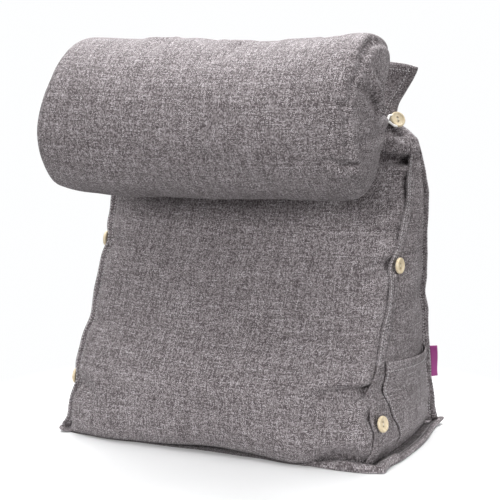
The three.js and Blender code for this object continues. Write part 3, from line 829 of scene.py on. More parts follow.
wedge_rest = mesh_points(wedge)
seam_columns = np.cumsum([0, FRONT_COLUMNS, SIDE_COLUMNS, FRONT_COLUMNS])
column_of = np.full(len(wedge_rest), -1)
column_of[: body_rows.shape[0] * ring_size] = np.tile(np.arange(ring_size), body_rows.shape[0])
wedge_held = np.where(np.isin(column_of, seam_columns) | flap_or_foot(wedge_rest), 1.0, 0.0)
wrinkle_cover(wedge, wedge_held, seed=3, share=WEDGE_WRINKLES, held_still=True)

# %% Creases of the wedge cover
CREASE_ROLL, ROLL_APART, CREASE_STEPS = 0.4, 2.2, 14
BESIDE_SEAM = 14.0
# The line of each crease from its deepest end, its depth and its width
WEDGE_CREASES = (
    (((204, -101, 96), (176, -119, 96), (153, -126, 92), (137, -132, 89), (115, -140, 78), (94, -144, 65)), 9.0, 6.0),
    (((206, -106, 65), (194, -123, 69), (175, -131, 65)), 3.0, 7.0),
    (((204, -22, 244), (182, -39, 239), (165, -50, 231), (144, -59, 223)), 6.0, 6.5),
    (((204, -7, 283), (195, -17, 277), (186, -25, 269)), 4.0, 6.5),
    (((-207, -21, 249), (-178, -35, 254), (-155, -40, 257)), 3.5, 8.0),
    (((-198, -82, 146), (-167, -95, 147)), 3.0, 8.0),
    (((-207, -106, 66), (-168, -132, 72)), 3.0, 8.0),
    (((206, 48, 372), (203, 36, 370), (193, 25, 369), (182, 19, 371), (171, 13, 371), (150, 5, 373)), 6.0, 5.0),
    (((160, 8, 372), (171, 13, 371), (182, 19, 371), (193, 25, 369), (208, 48, 372)), 7.0, 5.0),
    (((165, 12, 410), (182, 27, 407), (190, 30, 403), (198, 44, 397)), 8.0, 5.0),
    (((170, 14, 389), (185, 24, 388), (197, 36, 386), (203, 50, 386)), -4.5, 8.0),
)


def on_mesh(piece, line):
    """A line through the given points, laid on the nearest places of a piece."""
    tree = BVHTree.FromObject(piece, bpy.context.evaluated_depsgraph_get())
    dense = smooth_line(line, CREASE_STEPS)
    return np.array([np.array(tree.find_nearest(Vector(point * MM))[0]) / MM for point in dense])


def crease(points, line, depth, width):
    """How far a crease sinks each point: deepest at the start of its line, with a low roll on both sides."""
    runs = np.maximum(np.linalg.norm(np.diff(line, axis=0), axis=1), 1e-6)
    reach = np.append(0, np.cumsum(runs)) / runs.sum()
    nearest, along = np.full(len(points), np.inf), np.zeros(len(points))
    for i, (a, b) in enumerate(zip(line[:-1], line[1:])):
        t = np.clip((points - a) @ (b - a) / runs[i] ** 2, 0, 1)
        distance = np.linalg.norm(points - a - t[:, None] * (b - a), axis=1)
        closer = distance < nearest
        nearest[closer] = distance[closer]
        along[closer] = (reach[i] + t * (reach[i + 1] - reach[i]))[closer]
    profile = bell(nearest, width) - CREASE_ROLL * bell(nearest - ROLL_APART * width, width)
    return depth * (1 - along**2) * profile


def all_creases(piece, points, creases):
    return sum(crease(points, on_mesh(piece, line), depth, width) for line, depth, width in creases)


def sink(piece, points, depth):
    set_points(piece, points - mesh_normals(piece) * depth[:, None])


subdivided(wedge)
wedge_now = mesh_points(wedge)
sunk = all_creases(wedge, wedge_now, WEDGE_CREASES)
for name in ("front_right", "front_left"):
    root = seam_root(name, wedge_now[:, 2])
    beside = bell(np.linalg.norm(wedge_now - root, axis=1), BESIDE_SEAM) * (wedge_now[:, 2] < VALLEY["top"])
    sunk = np.where(sunk < 0, sunk * (1 - beside), sunk)
sunk[flap_or_foot(wedge_now)] = 0
sink(wedge, wedge_now, sunk)
print("wedge triangles:", 2 * len(wedge.data.polygons))

# %% [markdown]
# ## Neck bolster
# The bolster is a round pillow with a flat cloth end sewn in at each side. Rings along its axis give the shape. It
# is pressed flat where it leans on the wedge, and a point of each end is drawn to the button that holds it.

# %% Bolster rings
BOLSTER_Y, BOLSTER_Z = -98.0, 425.0
SHEAR, SHEAR_FROM, SHEAR_TO = 15.0, 110.0, 210.0
RIGHT_FOOT_SHEAR, RIGHT_FOOT_LIFT = 0.35, 0.3
# Place along the axis, radius and lift of each ring
BOLSTER_SECTIONS = np.array((
    (-228, 0, 2), (-226, 38, 2), (-221, 67, 2), (-212, 87, 1), (-199, 97, 1), (-178, 100, 0), (-120, 101.5, -2),
    (-60, 101, -4), (0, 100.5, -5), (60, 100.5, -4), (110, 100.5, -1), (145, 100.5, 2), (170, 100, 6), (183, 98, 9),
    (193, 92, 10), (200, 80, 10), (204, 58, 10), (206, 30, 10), (206.5, 0, 10),
))
RIGHT_NOSE = smooth_curve((330, 365, 400, 430, 455, 530), (0, 6, 12, 6, 0, 0))
RIGHT_DRAWN = smooth_curve((340, 365, 385, 405, 425, 442, 456, 470, 485, 500, 520),
                           (0, 7, 11.5, 12.5, 8, 28, 34, 25, 10, 6, 0))
RIGHT_END = {"from": 140.0, "fade": 45.0, "back_from": -120.0, "back_fade": 80.0, "nose_radius": 102.0}
UNDER_LIFT = {"lift": 4.8, "left": -125.0, "right": 222.0, "fade": 50.0}
EAR = {"x": 186.0, "y": 4.0, "z": 422.0, "spread": 24.0, "narrow": 1.5, "pull": 0.9}
BOLSTER_ROWS, BOLSTER_AROUND, SECTION_STEPS = 116, 112, 24


def ear_point(side):
    """Where the end of the bolster is drawn out to its loop."""
    return np.array((side * EAR["x"], EAR["y"], EAR["z"]))


section_x, section_radius, section_lift = BOLSTER_SECTIONS.T
fine_x = [np.linspace(a, b, SECTION_STEPS, endpoint=False) for a, b in zip(section_x[:-1], section_x[1:])]
fine_x = np.append(np.concatenate(fine_x), section_x[-1])
fine_curves = [smooth_curve(section_x, values)(fine_x) for values in (section_radius, section_lift)]
fine_profile = np.stack([fine_x, *fine_curves], axis=-1)
profile, profile_reach = even_columns(fine_profile[None], BOLSTER_ROWS)
profile, profile_reach = profile[0], profile_reach[0]
angle = np.linspace(0, 2 * math.pi, BOLSTER_AROUND, endpoint=False)[None]
x, radius, lift = (profile[:, i][:, None] for i in range(3))
end_share = np.clip((np.abs(x) - SHEAR_FROM) / (SHEAR_TO - SHEAR_FROM), 0, 1)
upper = ease((np.sin(angle) + 1) / 2)
foot_out = np.where((x > 0) & (np.sin(angle) < 0), RIGHT_FOOT_SHEAR, 1.0)
lifted = lift * np.where(x > 0, RIGHT_FOOT_LIFT + (1 - RIGHT_FOOT_LIFT) * upper, 1.0)
rings = np.stack([
    x + SHEAR * end_share * np.sin(angle) * foot_out,
    BOLSTER_Y + radius * np.cos(angle),
    BOLSTER_Z + lifted + radius * np.sin(angle),
], axis=-1)
under = ease((x - UNDER_LIFT["left"]) / UNDER_LIFT["fade"]) * ease((UNDER_LIFT["right"] - x) / UNDER_LIFT["fade"])
rings[..., 2] += UNDER_LIFT["lift"] * under * ease(-np.sin(angle))
at_back = ease((rings[..., 1] - RIGHT_END["back_from"]) / RIGHT_END["back_fade"])
nose = RIGHT_NOSE(rings[..., 2]) * (1 - (radius / RIGHT_END["nose_radius"]) ** 2)
shaped_end = nose - RIGHT_DRAWN(rings[..., 2]) * at_back
rings[..., 0] += np.clip((rings[..., 0] - RIGHT_END["from"]) / RIGHT_END["fade"], 0, 1) * shaped_end
press = 1 - np.clip((np.abs(x) - CONTACT["half"]) / CONTACT["fade"], 0, 1)
pressed_y = -soft_floor(-rings[..., 1], -(contact_y(rings[..., 2]) - CLOTH_GAP / 2))
rings[..., 1] += (pressed_y - rings[..., 1]) * press
for side in (-1, 1):
    ear = ear_point(side)
    from_ear = np.linalg.norm((rings - ear) * (1, 1, EAR["narrow"]), axis=-1)
    pull = EAR["pull"] * bell(from_ear, EAR["spread"]) * (np.sign(x) == side)
    rings += (ear - rings) * pull[..., None]

# %% Bolster cover as one closed grid
END_ROW = 4
END_SIDE = BOLSTER_AROUND // 4
END_SEAM_RADIUS, END_SEAM_DEPTH, TUBE_HALF = 88.0, 2.6, 150.0
GIRTH = 2 * math.pi * 0.1
inner = rings[END_ROW:-END_ROW]
row_count = len(inner)
bolster_index = ring_index(row_count, BOLSTER_AROUND)
girth = np.linspace(0, GIRTH, BOLSTER_AROUND + 1)[None] + ISLANDS["bolster"]
tube_flat = np.stack(np.broadcast_arrays(girth, (profile_reach[END_ROW:-END_ROW] * MM)[:, None]), axis=-1)
tube_row = (np.abs(profile[:, 0]) < TUBE_HALF) | (profile[:, 1] > END_SEAM_RADIUS)
tube_row = tube_row[END_ROW:-END_ROW]
tube_cell = np.repeat(tube_row[:-1] & tube_row[1:], BOLSTER_AROUND)
bolster_points = inner.reshape(-1, 3)
bolster_faces = grid_quads(bolster_index).tolist()
end_flat = bolster_points[bolster_index][..., 1:] * MM + (ISLANDS["bolster_end"], 0.0)
bolster_flat = list(np.where(tube_cell[:, None, None], grid_quads(tube_flat), grid_quads(end_flat)))
for ring, turn in ((bolster_index[0][:-1], -1), (bolster_index[-1][:-1], 1)):
    patch = patch_points(bolster_points[ring], END_SIDE, END_SIDE)
    end_index = patch_index(ring, END_SIDE, END_SIDE, len(bolster_points))
    bolster_points = np.concatenate([bolster_points, patch[1:-1, 1:-1].reshape(-1, 3)])
    for face in grid_quads(end_index)[:, ::turn]:
        bolster_faces.append(face.tolist())
        bolster_flat.append(bolster_points[face, 1:] * MM + (ISLANDS["bolster_end"], 0.0))
bolster = new_piece("bolster_cover", bolster_points, bolster_faces, bolster_flat, linen)

# %% Wrinkles and creases of the bolster cover
BOLSTER_WRINKLES = 0.8
BROAD_LUMPS, BROAD_LUMP_SIZE = 1.5, 110
PRESSED_WITHIN = 3.0
BOLSTER_CREASES = (
    (((217, -102, 438), (216, -115, 451), (216, -129, 468), (213, -141, 488), (210, -144, 503), (207, -138, 514)),
     -4.0, 5.0),
    (((215, -117, 444), (212, -142, 461), (206, -169, 471), (197, -181, 478)), 5.0, 6.0),
    (((208, -115, 523), (207, -134, 517), (207, -151, 505), (206, -159, 497)), 6.0, 4.5),
    (((198, -186, 446), (191, -192, 452), (185, -193, 456), (174, -194, 458)), 5.0, 4.5),
    (((200, -161, 378), (193, -175, 379), (187, -182, 383), (179, -187, 385), (165, -190, 386)), 6.0, 4.5),
    (((208, -84, 413), (212, -140, 408), (201, -178, 406), (188, -191, 405)), 3.0, 5.5),
    (((36, -118, 520), (35, -140, 512), (30, -162, 497)), 4.5, 7.0),
    (((-78, -104, 525), (-73, -129, 518), (-69, -153, 506)), 6.0, 8.0),
    (((-12, -100, 522), (-10, -128, 514)), 3.0, 9.0),
    (((112, -100, 524), (116, -130, 516)), 3.5, 9.0),
)


def pressed(points):
    """Which points lie on the wedge."""
    return points[:, 1] > contact_y(points[:, 2]) - PRESSED_WITHIN


bolster_rest = mesh_points(bolster)
row_of = np.full(len(bolster_rest), -1)
row_of[: row_count * BOLSTER_AROUND] = np.repeat(np.arange(row_count), BOLSTER_AROUND)
seam_rows = np.flatnonzero(np.diff(tube_row.astype(int))) + 1
on_end_seam = np.isin(row_of, seam_rows)
pressed_part = pressed(bolster_rest)
bolster_held = np.where(on_end_seam | pressed_part, 1.0, 0.0)
wrinkle_cover(bolster, bolster_held, seed=5, share=BOLSTER_WRINKLES, held_still=False)
sink(bolster, mesh_points(bolster), np.where(pressed_part, 0, END_SEAM_DEPTH * on_end_seam))
subdivided(bolster)
bolster_now = mesh_points(bolster)
sunk = all_creases(bolster, bolster_now, BOLSTER_CREASES) - BROAD_LUMPS * lumps(bolster_now, BROAD_LUMP_SIZE, 11)
sunk[pressed(bolster_now)] = 0
sink(bolster, bolster_now, sunk)
print("bolster triangles:", 2 * len(bolster.data.polygons))

# %% [markdown]
# ## Seam flanges
# The seam allowances of this cover are turned outward and stitched flat, so each upright corner carries a double
# strip of cloth about a centimetre wide. One cross-section, thin at the row of stitches and rounded at the fold, is
# swept up each seam. A plain extrusion would look like card, so the strip swings a little on its way up.

# %% Upright flanges
FLANGE_SECTION = np.array((
    (0.0, 0.0), (0.3, 0.85), (0.9, 1.3), (2.2, 1.65), (4.0, 1.75), (5.6, 1.5), (6.8, 0.95), (7.6, 0.7), (8.4, 0.95),
    (10.0, 1.9), (14.0, 2.4),
))
FLANGE_FULL, FLANGE_ROOT, STITCH_LINE = FLANGE_SECTION[-1, 0], 4.0, 7.6
FLANGE_LOW, FLANGE_HIGH, FLANGE_ROWS = 6.0, 398.0, 160
FLANGE_WIDTH = smooth_curve((0, 320, 350, 372, 386, 400), (11, 11, 10, 7, 3, 1))
SWING, SWING_LENGTH, FLUTTER, FLUTTER_LENGTH = 0.9, 46, 0.35, 15
EDGE_WANDER, EDGE_LENGTH = 0.5, 30
FIRST_SEED, FLUTTER_SEED, EDGE_SEED = 20, 50, 9
FLARE_HEIGHT = 17.0


def wobble(reach, size, seed):
    """Smooth seeded unevenness along a line, about -1 to 1."""
    return lumps(np.stack([reach, 0 * reach, 0 * reach], axis=-1).reshape(-1, 3), size, seed).reshape(reach.shape)


def flange_frame(name, z):
    out = seam_out(name, z)
    left = np.stack([-out[:, 1], out[:, 0], 0 * z], axis=-1)
    width = FLANGE_WIDTH(z) * CORNERS[name]["width"] + CORNERS[name]["flare"] * bell(z, FLARE_HEIGHT)
    return seam_root(name, z), out, left, width


def flange_point(name, z, from_edge, side, raised=0.0):
    """Points at a distance from the fold, on one face of a flange (side -1 or 1)."""
    root, out, left, width = flange_frame(name, z)
    scale = (width + FLANGE_ROOT) / FLANGE_FULL
    half = np.interp(from_edge, FLANGE_SECTION[:, 0], FLANGE_SECTION[:, 1]) + raised
    seed = FIRST_SEED + list(CORNERS).index(name)
    free = np.clip(1 - from_edge / STITCH_LINE, 0, 1)
    swing = SWING * wobble(z, SWING_LENGTH, seed) * free
    swing = swing + FLUTTER * wobble(z, FLUTTER_LENGTH, seed + FLUTTER_SEED) * free
    reach = width - from_edge * scale + EDGE_WANDER * wobble(z, EDGE_LENGTH, seed + EDGE_SEED) * free
    return root + out * reach[:, None] + left * (side * half + swing)[:, None]


def flange_faces(name):
    z = np.linspace(FLANGE_LOW, FLANGE_HIGH, FLANGE_ROWS + 1)
    inward = FLANGE_SECTION[::-1, 0]
    columns = [(d, -1) for d in inward] + [(d, 1) for d in FLANGE_SECTION[1:, 0]]
    points = np.stack([flange_point(name, z, d, side) for d, side in columns], axis=1)
    flat_u = np.array([side * (FLANGE_FULL + FLANGE_ROOT - d) for d, side in columns])
    return points, np.stack(np.broadcast_arrays(flat_u[None] * MM, z[:, None] * MM), axis=-1)


def sweep_piece(name, sweeps, material):
    """One piece from several closed sweeps: rows of section points, each with the cloth's flat coordinates."""
    points, faces, flat, first = [], [], [], 0
    for number, (rows, row_flat) in enumerate(sweeps):
        count = rows.shape[1]
        index = ring_index(len(rows), count, first)
        faces.extend(grid_quads(index).tolist())
        looped = np.concatenate([row_flat, row_flat[:, :1]], axis=1) + (ISLANDS["sweep"] + number, 0.0)
        flat.extend(grid_quads(looped))
        for row, turn in ((0, -1), (len(rows) - 1, 1)):
            faces.append(index[row, :-1][::turn].tolist())
            flat.append(looped[row, :-1][::turn])
        points.append(rows.reshape(-1, 3))
        first += rows.shape[0] * count
    return new_piece(name, np.concatenate(points), faces, flat, material)


flanges = sweep_piece("seam_flanges", [flange_faces(name) for name in CORNERS], linen)
print("flange faces:", len(flanges.data.polygons))

# %% [markdown]
# ## Base flange
# The base seam has the same double strip. It spreads on the floor under the cushion's belly, shows at the corners
# and along the sides, and is hidden in the middle of the front. There it is tucked under as a flat strip, laid in the
# gap under the belly, where its dark cloth also paints the shade of that gap. Its outline follows that of the CAD
# part's base.

# %% Base flange round the foot of the wedge
# Share of the way out from the cover's foot, and height, of each point of the cross-section
BASE_SECTION = (
    (-0.25, 2.6), (0.0, 2.3), (0.1, 2.4), (0.2, 2.6), (0.3, 3.0), (0.4, 3.4), (0.5, 3.4), (0.6, 4.0), (0.7, 4.8),
    (0.8, 5.0), (0.9, 4.8), (0.98, 3.6), (1.0, 2.2), (0.97, 0.9), (0.85, 0.5), (0.3, 0.5), (-0.25, 0.6),
)
BASE_STITCH = (0.5, 3.4)
BASE_FINE, COLUMN_WIDTH = 3, 4.8
BASE_ROOT, STILL_ROOT, BASE_THIN, HIDDEN_HEIGHT = 3.5, 0.2, 0.3, 0.08
SHOWS_FROM, SHOWS_FADE = 0.5, 5.0
OUTLINE_WANDER, LIFT_WAVES, LIFT_FLUTTER = 0.004, 0.22, 0.12
FLAT_WIDTH, FLAT_STEP, FLAT_UNDER = 12, 1.6, 9
# Where the flange is hidden: the share of the tuck by which its root is drawn back, and how far in its flat strip
# lies; the strip's dark cloth is painted shade in the gap under the belly.
TUCKED_FLANGE_SHADE_START, TUCKED_FLANGE_SHADE_REACH = 0.3, 20.0
HANGING = {"left": 120.0, "fade": 30.0, "lift": 0.9, "folds": 0.6}
FLANGE_FOLD = {"left": 148.0, "right": 200.0, "low": 0.78, "high": 0.2, "width": 0.13, "depth": 5.5}


def finer_ring(ring, times):
    share = np.arange(len(ring) * times) / times
    closed = np.concatenate([ring, ring[:1]])
    return np.stack([np.interp(share, np.arange(len(ring) + 1), closed[:, axis]) for axis in range(3)], axis=-1)


base_tip = base_outline(BASE_FINE)
base_root = finer_ring(body_rows[0], BASE_FINE)
base_reach = np.append(0, np.cumsum(np.linalg.norm(np.diff(base_tip, axis=0), axis=1)))
corner_columns = BASE_FINE * seam_columns
ear_lift = np.zeros(len(base_tip))
half_way = len(base_tip) // 2
for name, column_number in zip(("front_left", "front_right", "back_right", "back_left"), corner_columns):
    steps = np.abs((np.arange(len(base_tip)) - column_number + half_way) % len(base_tip) - half_way)
    out = unit(np.array([CORNERS[name]["side"], CORNERS[name]["end"], 0.0]))
    near = bell(steps * COLUMN_WIDTH / BASE_FINE, BASE["corner_spread"])
    base_tip += out * (CORNERS[name]["foot"] * near)[:, None]
    ear_lift += CORNERS[name]["lift"] * near
wander = OUTLINE_WANDER * wobble(base_reach, 60, 41)
base_tip[:, :2] += (base_tip - base_tip.mean(axis=0))[:, :2] * wander[:, None]
base_lift = 1.0 + LIFT_WAVES * wobble(base_reach, 55, 42) + LIFT_FLUTTER * wobble(base_reach, 22, 43)
in_front = base_root[:, 1] < FRONT_PART
hanging = ease((base_root[:, 0] - HANGING["left"]) / HANGING["fade"]) * in_front
base_lift += hanging * (HANGING["lift"] + HANGING["folds"] * wobble(base_reach, 30, 77))
radial = unit((base_root - base_root.mean(axis=0)) * (1, 1, 0))
base_tip += radial * (LENS["reach"] * over_lens(base_root))[:, None]
base_way = base_tip - base_root
base_way[:, 2] = 0
hidden = hidden_front(base_root)
shows = (ease(((base_way * radial).sum(axis=1) - SHOWS_FROM) / SHOWS_FADE) * (1 - hidden))[:, None]
# Where it is hidden, the flange lies as a flat strip reaching inward under the belly: a dark sheet of cloth that
# paints the shade of the gap there.
base_way = base_way * shows - radial * TUCKED_FLANGE_SHADE_REACH * (1 - shows)
fine_tucked = np.interp(np.arange(len(base_tip)) / BASE_FINE, np.arange(ring_size), tucked)
drawn_back = radial * (fine_tucked * hidden * TUCKED_FLANGE_SHADE_START)[:, None]
lens = LENS["lift"] * over_lens(base_root)


def flange_fold(share):
    """Depth of the fold that runs across the flange beside the front right corner."""
    along = (base_root[:, 0] - FLANGE_FOLD["left"]) / (FLANGE_FOLD["right"] - FLANGE_FOLD["left"])
    line = FLANGE_FOLD["low"] + (FLANGE_FOLD["high"] - FLANGE_FOLD["low"]) * along
    ends = ease(4 * along) * ease(6 * (1 - along)) * in_front
    return FLANGE_FOLD["depth"] * ends * bell(share - line, FLANGE_FOLD["width"])


def base_point(share, height):
    """The ring of points at one place of the cross-section."""
    point = base_root + drawn_back + (base_way * share if share >= 0 else -radial * BASE_ROOT)
    upper = height > 1.0
    lifted = height * (base_lift if STILL_ROOT < share and upper else 1.0)
    if upper:
        lifted = lifted + lens * np.clip(1 - share, 0, 1)
        point -= radial * flange_fold(share)[:, None]
    flattened = HIDDEN_HEIGHT + (1 - HIDDEN_HEIGHT) * shows[:, 0]
    point[:, 2] = np.maximum(lifted, BASE_THIN) * flattened + ear_lift * max(share, 0) ** 2
    return point


base_rows_out = np.stack([base_point(share, height) for share, height in BASE_SECTION], axis=1)
section_reach = np.append(0, np.cumsum(np.hypot(*np.diff(np.array(BASE_SECTION) * (FLAT_WIDTH, 1), axis=0).T)))
closed_round = np.append(np.arange(len(base_tip)), 0)
base_ring_index = ring_index(len(base_tip), len(BASE_SECTION))[closed_round]
flat_along = np.append(base_reach, base_reach[-1] + FLAT_STEP)[:, None] * MM + ISLANDS["base_flange"]
flat_across = np.append(section_reach, section_reach[-1] + FLAT_UNDER)[None] * MM
base_flat = np.stack(np.broadcast_arrays(flat_along, flat_across), axis=-1)
base_flange = new_piece("base_flange", base_rows_out.reshape(-1, 3), grid_quads(base_ring_index),
                        grid_quads(base_flat), linen)
print("base flange faces:", len(base_flange.data.polygons))

# %% [markdown]
# ## Patch pocket
# The pocket is one flat piece of the same linen, hemmed at its mouth and sewn to the right side panel along its
# other three edges. It is laid on the finished cover by asking where the cover lies under each of its points, and its
# mouth stands a little open.

# %% Pocket laid on the side panel
POCKET_FRONT = smooth_curve((20, 34, 60, 90, 129), (-37, -47, -62, -72, -70))
POCKET_MOUTH_FRONT, POCKET_MOUTH_BACK, POCKET_LOW = 127.0, 117.0, 17.0
POCKET_BACK_MARGIN = 3.0
POCKET_THICKNESS, POCKET_HEM, POCKET_HEM_THICKNESS = 1.6, 15.0, 2.6
POCKET_GAPE, POCKET_GAPE_POWER, POCKET_GAPE_ENDS, POCKET_PUFF = 4.5, 5.0, 0.7, 1.8
POCKET_CLEAR, POCKET_SOFTEN, POCKET_HEM_STEP = 0.5, 12, 1.5
POCKET_RIM, POCKET_RIM_LOW, EDGE_ACROSS, EDGE_UP, EDGE_LEAST = 9, 7, 40, 60, 0.12
POCKET_COLUMNS, POCKET_ROWS = 56, 48
BESIDE = 0.4

wedge_tree = BVHTree.FromObject(wedge, bpy.context.evaluated_depsgraph_get())


def side_surface(y, z):
    """How far out the right side of the cover lies at a place, in millimetres."""
    inward = Vector((-1, 0, 0))
    found = [wedge_tree.ray_cast(Vector((BESIDE, a * MM, b * MM)), inward)[0] for a, b in zip(y.ravel(), z.ravel())]
    return np.array([f.x / MM if f else np.nan for f in found]).reshape(y.shape)


def soften(grid, times):
    for _ in range(times):
        padded_grid = np.pad(grid, 1, mode="edge")
        grid = (padded_grid[1:-1, 1:-1] * 2 + padded_grid[:-2, 1:-1] + padded_grid[2:, 1:-1]
                + padded_grid[1:-1, :-2] + padded_grid[1:-1, 2:]) / 6
    return grid


pocket_u = np.linspace(0, 1, POCKET_COLUMNS + 1)[None]
pocket_v = np.linspace(0, 1, POCKET_ROWS + 1)[:, None]
mouth_z = POCKET_MOUTH_FRONT + (POCKET_MOUTH_BACK - POCKET_MOUTH_FRONT) * pocket_u
pocket_z = POCKET_LOW + (mouth_z - POCKET_LOW) * pocket_v
pocket_back = level_curves["back"](pocket_z) - POCKET_BACK_MARGIN
pocket_y = POCKET_FRONT(pocket_z) + (pocket_back - POCKET_FRONT(pocket_z)) * pocket_u
under = side_surface(pocket_y, pocket_z)
rim_across = np.minimum(1, POCKET_RIM * pocket_u) * np.minimum(1, POCKET_RIM * (1 - pocket_u))
rim = rim_across * np.minimum(1, POCKET_RIM_LOW * pocket_v)
gape = POCKET_GAPE * pocket_v**POCKET_GAPE_POWER * np.sin(math.pi * pocket_u) ** POCKET_GAPE_ENDS
low_side = np.maximum(under, soften(under, POCKET_SOFTEN)) + POCKET_CLEAR + POCKET_PUFF * rim + gape
hemmed = np.clip((pocket_z - mouth_z + POCKET_HEM) / POCKET_HEM_STEP, 0, 1)
thick = POCKET_THICKNESS + (POCKET_HEM_THICKNESS - POCKET_THICKNESS) * hemmed
from_sides = EDGE_ACROSS * np.minimum(pocket_u, 1 - pocket_u)
edge_round = np.sqrt(np.clip(np.minimum(from_sides, EDGE_UP * (1 - pocket_v)), EDGE_LEAST, 1))
outer = np.stack([low_side + thick * edge_round, pocket_y, pocket_z], axis=-1)
inner_side = np.stack([low_side, pocket_y, pocket_z], axis=-1)
pocket_index = np.arange(outer[..., 0].size).reshape(outer.shape[:2])
inner_index = pocket_index + pocket_index.size
pocket_flat = np.stack([pocket_y, pocket_z], axis=-1) * MM + (ISLANDS["pocket"], 0.0)
rim_loop = np.concatenate([
    pocket_index[0, :-1], pocket_index[:-1, -1], pocket_index[-1, :0:-1], pocket_index[:0:-1, 0]])
rim_next = np.roll(rim_loop, -1)
rim_quads = np.stack([rim_loop, rim_loop + pocket_index.size, rim_next + pocket_index.size, rim_next], axis=1)
flat_points = pocket_flat.reshape(-1, 2)
pocket_faces = np.concatenate([grid_quads(pocket_index), grid_quads(inner_index)[:, ::-1], rim_quads])
pocket_uv = [flat_points[face % pocket_index.size] for face in pocket_faces]
pocket = new_piece("patch_pocket", np.concatenate([outer.reshape(-1, 3), inner_side.reshape(-1, 3)]), pocket_faces,
                   pocket_uv, linen)
pocket_width = (pocket_back - POCKET_FRONT(pocket_z)).max() * MM

# %% [markdown]
# ## Topstitching
# A sewing machine leaves the same short stitch over and over along a line, which is what Geometry Nodes does best: a
# curve is resampled every few millimetres and one small bead of thread is set on each point, lying along the line.

# %% Stitch tree and thread
STITCH = {"Spacing": 0.0042, "Length": 0.0031, "Width": 0.0012, "Height": 0.0009}
SHORTEST, LONGEST = 0.8, 1.08
THREAD_COLOUR = (0.56, 0.545, 0.555)


def make_stitch_tree():
    tree = bpy.data.node_groups.new("stitch_row", "GeometryNodeTree")
    sockets = tree.interface
    sockets.new_socket("Geometry", in_out="INPUT", socket_type="NodeSocketGeometry")
    for name in STITCH:
        sockets.new_socket(name, in_out="INPUT", socket_type="NodeSocketFloat")
    sockets.new_socket("Thread", in_out="INPUT", socket_type="NodeSocketMaterial")
    sockets.new_socket("Geometry", in_out="OUTPUT", socket_type="NodeSocketGeometry")
    given = tree.nodes.new("NodeGroupInput").outputs
    result = tree.nodes.new("NodeGroupOutput").inputs
    line = add_node(tree, "GeometryNodeMeshToCurve", {"Mesh": given["Geometry"]}).outputs[0]
    points = add_node(tree, "GeometryNodeResampleCurve", mode="LENGTH")
    fill(tree, points.inputs["Curve"], line)
    fill(tree, points.inputs["Length"], given["Spacing"])
    tangent = add_node(tree, "GeometryNodeInputTangent").outputs[0]
    facing = add_node(tree, "GeometryNodeInputNamedAttribute", {"Name": "facing"},
                      data_type="FLOAT_VECTOR").outputs[0]
    along = add_node(tree, "FunctionNodeAlignRotationToVector", {"Vector": tangent}, axis="X")
    turned = add_node(tree, "FunctionNodeAlignRotationToVector", {"Rotation": along.outputs[0], "Vector": facing},
                      axis="Z", pivot_axis="X")
    uneven = add_node(tree, "FunctionNodeRandomValue", {2: SHORTEST, 3: LONGEST, "Seed": 7},
                      data_type="FLOAT").outputs[1]
    length = add_sum(tree, "MULTIPLY", given["Length"], uneven)
    size = add_node(tree, "ShaderNodeCombineXYZ", {"X": length, "Y": given["Width"], "Z": given["Height"]}).outputs[0]
    bead = add_node(tree, "GeometryNodeMeshIcoSphere", {"Radius": 0.5, "Subdivisions": 1}).outputs[0]
    stitches = add_node(tree, "GeometryNodeInstanceOnPoints", {
        "Points": points.outputs[0], "Instance": bead, "Rotation": turned.outputs[0], "Scale": size}).outputs[0]
    real = add_node(tree, "GeometryNodeRealizeInstances", {"Geometry": stitches}).outputs[0]
    rounded = add_node(tree, "GeometryNodeSetShadeSmooth", {"Geometry": real}).outputs[0]
    painted = add_node(tree, "GeometryNodeSetMaterial", {"Geometry": rounded, "Material": given["Thread"]}).outputs[0]
    fill(tree, result["Geometry"], painted)
    return tree


def make_plain(name, colour, roughness, sheen=0.0):
    return new_material(name, {
        "Base Color": (*colour, 1.0), "Roughness": roughness, "Sheen Weight": sheen, "Specular IOR Level": 0.3})[0]


stitch_tree = make_stitch_tree()
thread = make_plain("grey_thread", THREAD_COLOUR, 0.75)


def stitch_piece(name, lines):
    """Rows of stitches along lines, each a pair of points in millimetres and the ways the cloth faces there."""
    mesh = bpy.data.meshes.new(name)
    starts = np.cumsum([0] + [len(points) for points, _ in lines])
    edges = [(i, i + 1) for a, b in zip(starts[:-1], starts[1:]) for i in range(a, b - 1)]
    mesh.from_pydata((np.concatenate([points for points, _ in lines]) * MM).tolist(), edges, [])
    ways = mesh.attributes.new("facing", "FLOAT_VECTOR", "POINT")
    ways.data.foreach_set("vector", np.concatenate([ways_out for _, ways_out in lines]).astype(np.float32).ravel())
    piece = bpy.data.objects.new(name, mesh)
    scene.collection.objects.link(piece)
    sewing = piece.modifiers.new("sewing", "NODES")
    sewing.node_group = stitch_tree
    given = {**STITCH, "Thread": thread}
    for item in stitch_tree.interface.items_tree:
        if item.in_out == "INPUT" and item.name in given:
            sewing[item.identifier] = given[item.name]
    make_modifiers_real(piece)
    print(name, "faces:", len(piece.data.polygons))
    return piece


# %% Rows of stitches
LINE_STEP, STITCH_RAISE = 3.0, 0.15
FLAP_STITCH_IN, FLAP_STITCH_FROM = 9.0, 430.0
# The row beside each flange's fold is light thread that also stands for the light the fold catches: stitching and a
# painted highlight along the fold.
FOLD_HIGHLIGHT_STITCH, HEM_STITCH = 1.4, 12.0
PLAIN_BELOW, END_LOW, END_HIGH = 128.0, 6.0, 8.0
BASE_ROW_FROM, BASE_ROW_TO = BASE_FINE * (FRONT_COLUMNS + 3), -6


